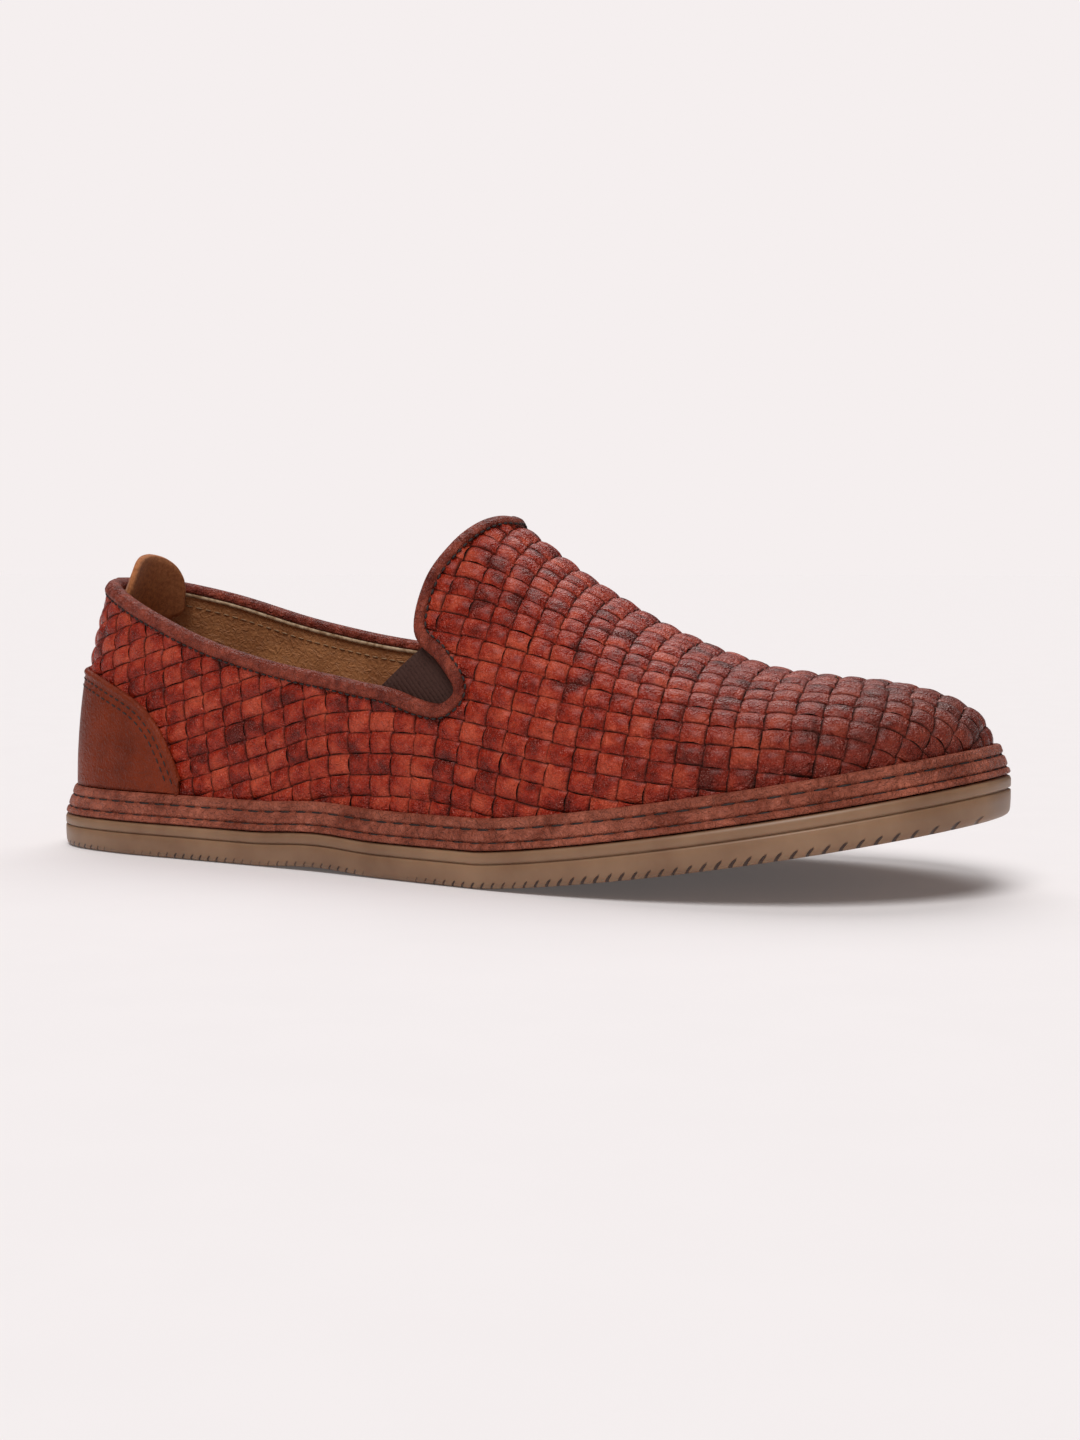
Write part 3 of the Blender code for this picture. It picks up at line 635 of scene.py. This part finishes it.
def woven_cloth():
    """The woven area laid flat, as a search tree, with each flat corner's place and direction."""
    flat, places, normals, faces = [], [], [], []
    columns = []
    for side in (0, 1):
        plan = flat_plan(side)
        lines = wall_lines(TOPLINE, side, TOPLINE_STEPS) + vamp_lines(VAMP_LINES)
        columns += [woven_column(side, line, plan) for line in (lines[-2::-1] if side else lines)]
    count = len(columns[0])
    for number, column in enumerate(columns):
        for level, (point, normal, laid) in enumerate(column):
            if number and level:
                here = number * count + level
                faces.append((here - count - 1, here - 1, here, here - count))
            flat.append(laid.to_3d())
            places.append(point)
            normals.append(normal)
    return BVHTree.FromPolygons(flat, faces), flat, faces, places, normals


CLOTH = woven_cloth()


def on_last(x, y):
    """Place and outward direction on the last of a flat place, or nothing outside the weave."""
    tree, flat, faces, places, normals = CLOTH
    spot, _, index, distance = tree.find_nearest(Vector((x, y, 0)))
    if distance > 0.0007:
        return None
    a, b, c, d = faces[index]
    corner = flat[a]
    across = (flat[c] - corner).cross(spot - corner).z
    beside = (flat[c] - corner).cross(flat[b] - corner).z
    corners = (a, b, c) if across * beside > 0 else (a, c, d)
    triangle = [flat[number] for number in corners]
    point = barycentric_transform(spot, *triangle, *(places[number] for number in corners))
    normal = barycentric_transform(spot, *triangle, *(normals[number] for number in corners))
    return point, normal.normalized()


def ribbon_family(lengthwise, seed):
    """All the strips that run one way, as ribbons laid over and under those that run the other way."""
    dice = random.Random(seed)
    pitch, step = (LONG_STRIP, CROSS_STRIP) if lengthwise else (CROSS_STRIP, LONG_STRIP)
    xs = [point.x for point in CLOTH[1]]
    ys = [point.y for point in CLOTH[1]]
    reach, span = ((min(xs), max(xs)), (min(ys), max(ys)))
    if not lengthwise:
        reach, span = span, reach
    first, final = math.floor(reach[0] / step), math.ceil(reach[1] / step)
    low, high = math.floor(span[0] / pitch), math.ceil(span[1] / pitch)
    bm = bmesh.new()
    bm.loops.layers.uv.new("UVMap")
    tone_and_painted_shade = bm.verts.layers.float_color.new("strip")
    along_steps = (final - first) * ALONG_CELL
    for strip in range(low, high):
        made = bmesh.ops.create_grid(bm, x_segments=along_steps, y_segments=ACROSS_STRIP, size=0.5)["verts"]
        strip_tone = dice.random()
        tones = [dice.random() for _ in range(final - first + 2)]
        widths = [dice.uniform(0.98, 1.05) for _ in range(final - first + 2)]
        shifts = [dice.uniform(-0.03, 0.03) for _ in range(final - first + 2)]
        lifts = [dice.uniform(-0.00010, 0.00010) for _ in range(final - first + 2)]
        rolls = [dice.uniform(-0.00016, 0.00016) for _ in range(final - first + 2)]
        outside = []
        for vert in made:
            share = vert.co.x + 0.5
            side = 2 * vert.co.y
            along = first + share * (final - first)
            cell = math.floor(along)
            number = cell - first
            part = along - cell
            # over in every other cell; the middle of a cell is the top or the bottom of the arch
            over = (cell + strip + (0 if lengthwise else 1)) % 2 == 0
            wave = math.sin(math.pi * part)
            arch = (wave ** 0.65) * (1 if over else -1)
            height = (OVER + UNDER) / 2 + (OVER - UNDER) / 2 * arch
            height += STRIP_CROWN * (1 - side * side) - EDGE_DROP * abs(side) ** 8 + lifts[number]
            height += rolls[number] * side * wave
            near = widths[number] + (widths[number + 1] - widths[number]) * part
            near *= 1.05 - 0.10 * wave if over else 1.0
            move = shifts[number] + (shifts[number + 1] - shifts[number]) * part
            across = strip + 0.5 + move + side / 2 * near
            x, y = (along * step, across * pitch) if lengthwise else (across * pitch, along * step)
            found = on_last(x, y)
            if not found:
                outside.append(vert)
                continue
            point, normal = found
            vert.co = point + normal * height
            # painted shade mask: 1 on the parts that pass under and near the ends where a strip dives, 0 on
            # top of each arch
            edge = 1 - min(1.0, 6 * wave) if over else 1.0
            vert[tone_and_painted_shade] = (0.6 * tones[number] + 0.4 * strip_tone, edge, 1.0 if over else 0.0, 1.0)
        bmesh.ops.delete(bm, geom=outside, context="VERTS")
    return bm


def strip_material():
    material, tree, shader = new_material("strip_leather", 0.36, Specular_IOR_Level=0.42,
                                          Specular_Tint=(1.0, 0.62, 0.52, 1), Coat_Roughness=0.22)
    place = node(tree, "ShaderNodeTexCoord")
    mark = node(tree, "ShaderNodeVertexColor", layer_name="strip")
    strip = node(tree, "ShaderNodeSeparateColor", [("Color", mark.outputs["Color"])])
    grain = node(tree, "ShaderNodeGroup", node_tree=GRAIN)
    tree.links.new(place.outputs["Object"], grain.inputs["Vector"])
    grain.inputs["Blotches"].default_value = 160.0
    grain.inputs["Pebbles"].default_value = 1500.0
    grain.inputs["Creases"].default_value = 300.0
    spread = node(tree, "ShaderNodeMath", [(0, strip.outputs["Red"])], operation="MULTIPLY")
    spread.inputs[1].default_value = 0.28
    mixed = node(tree, "ShaderNodeMath", [(0, grain.outputs["Tone"]), (1, spread.outputs[0])],
                 operation="ADD")
    tone = ramp(tree, mixed.outputs[0], [(0.44, (0.11, 0.004, 0.001)), (0.62, (0.31, 0.017, 0.005)),
                                         (0.82, (0.50, 0.064, 0.027))])
    where = node(tree, "ShaderNodeSeparateXYZ", [("Vector", place.outputs["Object"])])
    toe = node(tree, "ShaderNodeMapRange", [("Value", where.outputs["X"])])
    toe.inputs["From Min"].default_value = 0.055
    toe.inputs["From Max"].default_value = 0.14
    toe.inputs["To Max"].default_value = 0.72
    burnt = node(tree, "ShaderNodeMix", [("Factor", toe.outputs[0]), (6, tone.outputs["Color"])],
                 data_type="RGBA")
    burnt.inputs[7].default_value = (0.085, 0.018, 0.012, 1)
    # painted shade: the strips go near black where they pass under or dive, standing in for the shade
    # between them
    dark = node(tree, "ShaderNodeMix", [("Factor", strip.outputs["Green"]), (6, burnt.outputs[2])],
                data_type="RGBA")
    dark.inputs[7].default_value = (0.016, 0.003, 0.002, 1)
    tree.links.new(dark.outputs[2], shader.inputs["Base Color"])
    dull = node(tree, "ShaderNodeMapRange", [("Value", strip.outputs["Green"])])
    dull.inputs["To Min"].default_value = 0.13
    dull.inputs["To Max"].default_value = 0.95
    patchy = node(tree, "ShaderNodeMath", [(0, grain.outputs["Tone"]), (2, dull.outputs[0])],
                  operation="MULTIPLY_ADD")
    patchy.inputs[1].default_value = 0.3
    tree.links.new(patchy.outputs[0], shader.inputs["Roughness"])
    glaze = node(tree, "ShaderNodeMapRange", [("Value", strip.outputs["Green"])])
    glaze.inputs["To Min"].default_value = 0.10
    glaze.inputs["To Max"].default_value = 0.0
    tree.links.new(glaze.outputs[0], shader.inputs["Coat Weight"])
    lift = node(tree, "ShaderNodeBump", [("Height", grain.outputs["Height"])], Strength=1.0, Distance=0.0009)
    tree.links.new(lift.outputs["Normal"], shader.inputs["Normal"])
    return material


strip_leather = strip_material()
piece("lengthwise_strips", ribbon_family(True, 3), strip_leather, "woven_upper", "woven_upper")
piece("crosswise_strips", ribbon_family(False, 5), strip_leather, "woven_upper", "woven_upper")

# The lining: a thin wall behind the strips, tan grained leather inside; its outside is painted near black, a
# painted shade for the gaps between the strips.
LINING_LEVELS = 24


def upper_lines(steps, vamp):
    """The lines of the whole upper, heel to toe and back, as pairs of side and line."""
    around = []
    for side in (0, 1):
        lines = [(side, line) for line in wall_lines(TOPLINE, side, steps) + vamp_lines(vamp)]
        around += reversed(lines[:-1]) if side else lines
    return around


LINES = upper_lines(6, 30)


def lining_point(column, row):
    side, line = LINES[column % len(LINES)]
    row_here, rise = line_place(line, max(row - 1, 0) / LINING_LEVELS)
    turn = place_on(side, row_here)
    point = last(turn, rise) - surface_normal(turn, rise) * (0.0011 if row > 1 else 0.0008)
    if row == 0:
        point.z = sole_top(point.x) + GAP
    return point


lining = skin(len(LINES), LINING_LEVELS + 1, lining_point)
# the lining's outside: painted shade, near black so the gaps between the strips read dark
painted_shade_backing, _, _ = leather("painted_shade_backing", (0.02, 0.008, 0.005), (0.035, 0.012, 0.008), 0.8, 0.0001)
lining_leather, _, _ = leather("lining_leather", (0.32, 0.115, 0.040), (0.64, 0.28, 0.11), 0.55, 0.0004,
                               blotches=45.0, pebbles=900.0, creases=420.0)
lining_obj = piece("lining", lining, painted_shade_backing, "woven_upper", "woven_upper")
lining_obj.data.materials.append(lining_leather)
shell = lining_obj.modifiers.new("thickness", "SOLIDIFY")
shell.thickness = 0.0010
shell.offset = -1.0
shell.material_offset = 1

# The heel counter: smooth brown leather around the heel, folded under at its edge and held there by
# two rows of dark stitches, with a seam down the back.
COUNTER_TABLE = (
    (0.00, 0.00, 0.310, 0.310),
    (1.00, 1.00, 0.310, 0.310),
    (2.00, 2.00, 0.300, 0.300),
    (2.60, 2.70, 0.263, 0.266),
    (3.10, 3.20, 0.220, 0.222),
    (3.45, 3.50, 0.165, 0.166),
    (3.65, 3.70, 0.096, 0.096),
    (3.80, 3.82, 0.038, 0.038))
COUNTER_STEPS = 8
COUNTER_LEVELS = 30
COUNTER_SEAT = 0.0012
COUNTER_THICKNESS = 0.0010
FOLD_WIDTH = 0.0021


def counter_lines():
    """The counter's lines from its inner front corner round the heel to its outer one."""
    inner = [(1, line) for line in wall_lines(COUNTER_TABLE, 1, COUNTER_STEPS)]
    outer = [(0, line) for line in wall_lines(COUNTER_TABLE, 0, COUNTER_STEPS)]
    return list(reversed(inner)) + outer[1:]


COUNTER_LINES = counter_lines()
COUNTER_EDGE = [line_point(side, line, 1.0) for side, line in COUNTER_LINES]


def counter_point(column, row):
    side, line = COUNTER_LINES[column]
    share = 1 - (1 - row / COUNTER_LEVELS) ** 1.6
    row_here, rise = line_place(line, share)
    turn = place_on(side, row_here)
    point = last(turn, rise)
    depth = min((point - edge).length for edge in COUNTER_EDGE)
    fold = 0.00045 * max(0.0, 1 - (depth / FOLD_WIDTH - 0.5) ** 4 * 16) if depth < FOLD_WIDTH else 0.0
    edge_round = -0.0006 * max(0.0, 1 - depth / 0.0007)
    seam = abs(point.y) if point.x < -0.1 else 1.0
    crease = -0.0003 * math.exp(-(seam / 0.0006) ** 2)
    off = COUNTER_SEAT + COUNTER_THICKNESS + fold + edge_round + crease
    lift = Vector((0, 0, 0.0003)) if row == 0 else Vector()
    return point + surface_normal(turn, rise) * off + lift


counter = skin(len(COUNTER_LINES) - 1, COUNTER_LEVELS, counter_point)
counter_leather, _, _ = leather("counter_leather", (0.13, 0.017, 0.004), (0.23, 0.034, 0.010), 0.40, 0.00040,
                                blotches=50.0, pebbles=1300.0, creases=300.0, Specular_IOR_Level=0.15)
counter_obj = piece("counter_overlay", counter, counter_leather, "heel_counter", "heel_counter")
thick = counter_obj.modifiers.new("thickness", "SOLIDIFY")
thick.thickness = COUNTER_THICKNESS
thick.offset = -1.0

rows = bmesh.new()
for depth in (0.0031, 0.0052):
    spots = []
    for number, (side, line) in enumerate(COUNTER_LINES[1:-1], 1):
        row_here, rise = line_place(line, 1.0)
        turn = place_on(side, row_here)
        out = surface_normal(turn, rise)
        run = COUNTER_EDGE[number + 1] - COUNTER_EDGE[number - 1]
        into = run.cross(out).normalized()
        if into.z > 0:
            into = -into
        place = moved(turn, rise, into * depth)
        if place[1] < 0.01:
            continue
        out = surface_normal(*place)
        spots.append((last(*place) + out * (COUNTER_SEAT + COUNTER_THICKNESS + 0.00005), out))
    stitches(rows, spots, 0.0021, 0.0028, 0.00048)
piece("counter_stitches", rows, dark_thread, "heel_counter")

# The gores: ribbed dark elastic behind the two side notches. Its woven ribs run forwards and down, and
# its back edge lies square to them.
GORE_BACK, GORE_TOP = (6.00, 0.245), (6.90, 0.460)
RIB_RUN = (0.55, -0.13)
GORE_SEAT = 0.0030
RIBS = 28


def make_gore(side, name, cad_node, material):
    def place(column, row):
        share, along = column / (RIBS * 6), row / 8
        row_here, rise = (low + (high - low) * share + run * along
                          for low, high, run in zip(GORE_BACK, GORE_TOP, RIB_RUN))
        turn = place_on(side, row_here)
        rib = 0.00030 * math.sin(math.pi * column / 3)
        return last(turn, rise) - surface_normal(turn, rise) * (GORE_SEAT - rib)
    panel = piece(name, skin(RIBS * 6, 8, place), material, "gore", cad_node)
    if side:
        panel.data.flip_normals()
    web = panel.modifiers.new("thickness", "SOLIDIFY")
    web.thickness = 0.0010
    web.offset = -1.0


elastic, tree, shader = new_material("ribbed_elastic", 0.8, Specular_IOR_Level=0.1)
place = node(tree, "ShaderNodeTexCoord")
yarn = node(tree, "ShaderNodeTexNoise", [("Vector", place.outputs["Object"])], Scale=1800.0, Detail=2.0)
across = node(tree, "ShaderNodeSeparateXYZ", [("Vector", place.outputs["UV"])])
turns = node(tree, "ShaderNodeMath", [(0, across.outputs["X"])], operation="MULTIPLY")
turns.inputs[1].default_value = 2 * math.pi * RIBS
ribs_and_groove_shade = node(tree, "ShaderNodeMath", [(0, turns.outputs[0])], operation="SINE")
mixed = node(tree, "ShaderNodeMath", [(0, ribs_and_groove_shade.outputs[0]), (2, yarn.outputs["Fac"])],
             operation="MULTIPLY_ADD")
mixed.inputs[1].default_value = 0.35
# the elastic's own dark brown on the ribs, with painted shade near black in the grooves between them
tone = ramp(tree, mixed.outputs[0], [(0.36, (0.002, 0.001, 0.001)), (0.80, (0.060, 0.028, 0.022))])
tree.links.new(tone.outputs["Color"], shader.inputs["Base Color"])
make_gore(0, "outer_gore", "gore_lateral", elastic)
make_gore(1, "inner_gore", "gore_medial", elastic)

# The binding: a strip of brown leather folded over the edge of the opening and stitched through.
# The lining's raw cream edge shows just inside it.
BINDING_STEPS = 8
BINDING_PROFILE = (
    (0.0030, 0.0004), (0.0031, 0.0016), (0.0028, 0.0021), (0.0021, 0.0024), (0.0012, 0.0023),
    (0.0002, 0.0020), (-0.0006, 0.0013), (-0.0010, 0.0003), (-0.0010, -0.0008), (-0.0007, -0.0017),
    (0.0000, -0.0024), (0.0008, -0.0026), (0.0014, -0.0025), (0.0014, -0.0018))
STATIONS = topline_stations(BINDING_STEPS)


def station_directions():
    """For each station around the opening: its turn, rise and the way into the leather."""
    points = [last(turn, rise) for turn, rise in STATIONS]
    found = []
    for number, (turn, rise) in enumerate(STATIONS):
        run = points[(number + 1) % len(points)] - points[number - 1]
        found.append((turn, rise, run.cross(surface_normal(turn, rise)).normalized()))
    return found


EDGE_WAYS = station_directions()


def along_edge(column, depth, off):
    """A place that lies so deep below the opening's edge and so far off the last."""
    turn, rise, into = EDGE_WAYS[column % len(EDGE_WAYS)]
    place = moved(turn, rise, into * depth)
    out = surface_normal(*place)
    return last(*place) + out * off, out


def binding_point(column, row):
    depth, off = BINDING_PROFILE[row % len(BINDING_PROFILE)]
    return along_edge(column, depth, off)[0]


binding = skin(len(EDGE_WAYS), len(BINDING_PROFILE), binding_point)
bmesh.ops.recalc_face_normals(binding, faces=binding.faces[:])
binding_leather, _, _ = leather("binding_leather", (0.14, 0.018, 0.009), (0.36, 0.070, 0.038), 0.42, 0.0014,
                                blotches=160.0, pebbles=900.0, creases=380.0, Specular_IOR_Level=0.2)
piece("edge_binding", binding, binding_leather, "topline_binding", "topline_binding")

rows = bmesh.new()
spots = [along_edge(column, 0.0033, 0.0015) for column in range(len(EDGE_WAYS) + 1)]
stitches(rows, spots, 0.0019, 0.0024, 0.00075)
piece("binding_stitches", rows, dark_thread, "topline_binding")

cream, tree, shader = new_material("raw_edge_leather", 0.85)
place = node(tree, "ShaderNodeTexCoord")
fray = node(tree, "ShaderNodeTexNoise", [("Vector", place.outputs["Object"])], Scale=600.0, Detail=4.0)
tone = ramp(tree, fray.outputs["Fac"], [(0.35, (0.30, 0.17, 0.085)), (0.6, (0.62, 0.45, 0.29))])
tree.links.new(tone.outputs["Color"], shader.inputs["Base Color"])


def raw_edge_point(column, row):
    angle = 2 * math.pi * row / 6
    return along_edge(column, 0.0021 + 0.0007 * math.cos(angle), -0.0023 + 0.0005 * math.sin(angle))[0]


raw_edge = skin(len(EDGE_WAYS), 6, raw_edge_point)
bmesh.ops.recalc_face_normals(raw_edge, faces=raw_edge.faces[:])
piece("raw_edge", raw_edge, cream, "woven_upper", "woven_upper")

tan_thread = thread_material("tan_thread", (0.42, 0.24, 0.12))
rows = bmesh.new()
spots = []
for column in range(len(EDGE_WAYS) + 1):
    point, out = along_edge(column, 0.0058, -0.0022)
    spots.append((point, -out))
stitches(rows, spots, 0.0024, 0.0031, 0.00055)
piece("lining_stitches", rows, tan_thread, "woven_upper")

# The pull tab: a crescent of tan-brown suede, sewn inside the heel and standing up over the binding.
TAB_HEIGHT, TAB_DEPTH, TAB_REACH = 0.0095, 0.0120, 1.85


def tab_point(column, row):
    place = TAB_REACH * (column / 24 - 1)
    edge = blend(TOPLINE, abs(place))[2]
    upwards = (last(place, edge + 0.02) - last(place, edge - 0.02)).normalized()
    bulge = math.sqrt(max(0.0, 1 - (place / TAB_REACH) ** 2))
    low, high = -TAB_DEPTH * (0.4 + 0.6 * bulge), TAB_HEIGHT * bulge + 0.0009
    point = last(place, edge) + upwards * (low + (high - low) * row / 10)
    return point - surface_normal(place, edge) * 0.0036


suede, tree, shader = new_material("tan_suede", 0.95, Sheen_Weight=0.15, Sheen_Roughness=0.5,
                                   Specular_IOR_Level=0.1)
place = node(tree, "ShaderNodeTexCoord")
nap = node(tree, "ShaderNodeTexNoise", [("Vector", place.outputs["Object"])], Scale=900.0, Detail=5.0,
           Roughness=0.7)
tone = ramp(tree, nap.outputs["Fac"], [(0.32, (0.30, 0.100, 0.038)), (0.68, (0.56, 0.215, 0.085))])
tree.links.new(tone.outputs["Color"], shader.inputs["Base Color"])
lift = node(tree, "ShaderNodeBump", [("Height", nap.outputs["Fac"])], Strength=0.6, Distance=0.0003)
tree.links.new(lift.outputs["Normal"], shader.inputs["Normal"])
tab = piece("suede_tab", skin(48, 10, tab_point), suede, "pull_tab", "pull_tab")
body = tab.modifiers.new("thickness", "SOLIDIFY")
body.thickness = 0.0020
body.offset = -1.0

# The back strap: a short strap of dark leather down the heel seam; the one slanting stitch that holds it is
# not drawn.
STRAP_WIDTH = 0.0150


def strap_point(column, row):
    half = STRAP_WIDTH / 2 / (SECTIONS[1][3] * BALL_WIDTH)
    side = column / 8 - 1
    level = row / 16
    rise = 0.345 + (TOPLINE[0][2] - 0.345) * level
    turn = half * side
    off = 0.0014 + 0.0016 * min(1.0, level * 1.6) + 0.0012 * math.sin(math.pi * level)
    off -= 0.0005 * abs(side) ** 4
    return last(turn, rise) + surface_normal(turn, rise) * off


strap = piece("heel_strap", skin(16, 16, strap_point), binding_leather, "back_strap", "back_strap")
body = strap.modifiers.new("thickness", "SOLIDIFY")
body.thickness = 0.0010
body.offset = -1.0

# The room: a pale floor that glows a little, in a white room. The light comes softly from in front and
# above, and more weakly from behind.
FLOOR_GLOW, SKY_LIGHT = 0.08, 0.15
floor_mesh = bmesh.new()
bmesh.ops.create_grid(floor_mesh, x_segments=1, y_segments=1, size=30.0)
floor_data = bpy.data.meshes.new("floor")
floor_mesh.to_mesh(floor_data)
floor_mesh.free()
floor = bpy.data.objects.new("floor", floor_data)
bpy.context.scene.collection.objects.link(floor)
paper, tree, shader = new_material("floor_paper", 0.9, Specular_IOR_Level=0.0)
place = node(tree, "ShaderNodeTexCoord")
fibre = node(tree, "ShaderNodeTexNoise", [("Vector", place.outputs["Object"])], Scale=40.0)
tone = ramp(tree, fibre.outputs["Fac"], [(0.0, (0.794, 0.757, 0.757)), (1.0, (0.814, 0.776, 0.776))])
tree.links.new(tone.outputs["Color"], shader.inputs["Base Color"])
shader.inputs["Emission Color"].default_value = (0.913, 0.863, 0.863, 1)
shader.inputs["Emission Strength"].default_value = FLOOR_GLOW
floor_data.materials.append(paper)

world = bpy.data.worlds.new("white_room")
world.use_nodes = True
tree = world.node_tree
sky = tree.nodes["Background"]
sky.inputs["Color"].default_value = (0.913, 0.863, 0.863, 1)
seen = node(tree, "ShaderNodeLightPath")
level = node(tree, "ShaderNodeMapRange", [("Value", seen.outputs["Is Camera Ray"])])
level.inputs["To Min"].default_value = SKY_LIGHT
tree.links.new(level.outputs[0], sky.inputs["Strength"])
bpy.context.scene.world = world


def soft_sun(name, direction, strength, spread):
    """Light that comes evenly from one side, with soft edges to its shadows."""
    data = bpy.data.lights.new(name, "SUN")
    data.energy = strength
    data.angle = math.radians(spread)
    lamp = bpy.data.objects.new(name, data)
    lamp.rotation_euler = Vector(direction).to_track_quat("Z", "Y").to_euler()
    bpy.context.scene.collection.objects.link(lamp)


soft_sun("front_lamp", (0.10, -0.60, 1.0), 2.05, 34)
soft_sun("back_lamp", (-0.3, 0.6, 0.9), 1.35, 50)

# The camera stands 28 degrees round from the outer side, low and near, as in the photo.
CAMERA_AZIMUTH, CAMERA_ELEVATION = math.radians(27.6), math.radians(4.0)
CAMERA_DISTANCE = 0.612
CAMERA_TARGET = Vector((0.0121, 0.0043, 0.0410))
FOCAL_PIXELS, IMAGE_HEIGHT = 2148.0, 1440.0
back = Vector((math.sin(CAMERA_AZIMUTH) * math.cos(CAMERA_ELEVATION),
               -math.cos(CAMERA_AZIMUTH) * math.cos(CAMERA_ELEVATION), math.sin(CAMERA_ELEVATION)))
lens = bpy.data.cameras.new("camera")
lens.sensor_width = 36.0
lens.lens = FOCAL_PIXELS / IMAGE_HEIGHT * lens.sensor_width
camera = bpy.data.objects.new("camera", lens)
camera.location = CAMERA_TARGET + back * CAMERA_DISTANCE
camera.rotation_euler = back.to_track_quat("Z", "Y").to_euler()
bpy.context.scene.collection.objects.link(camera)
bpy.context.scene.camera = camera
bpy.context.scene.view_settings.view_transform = "Standard"
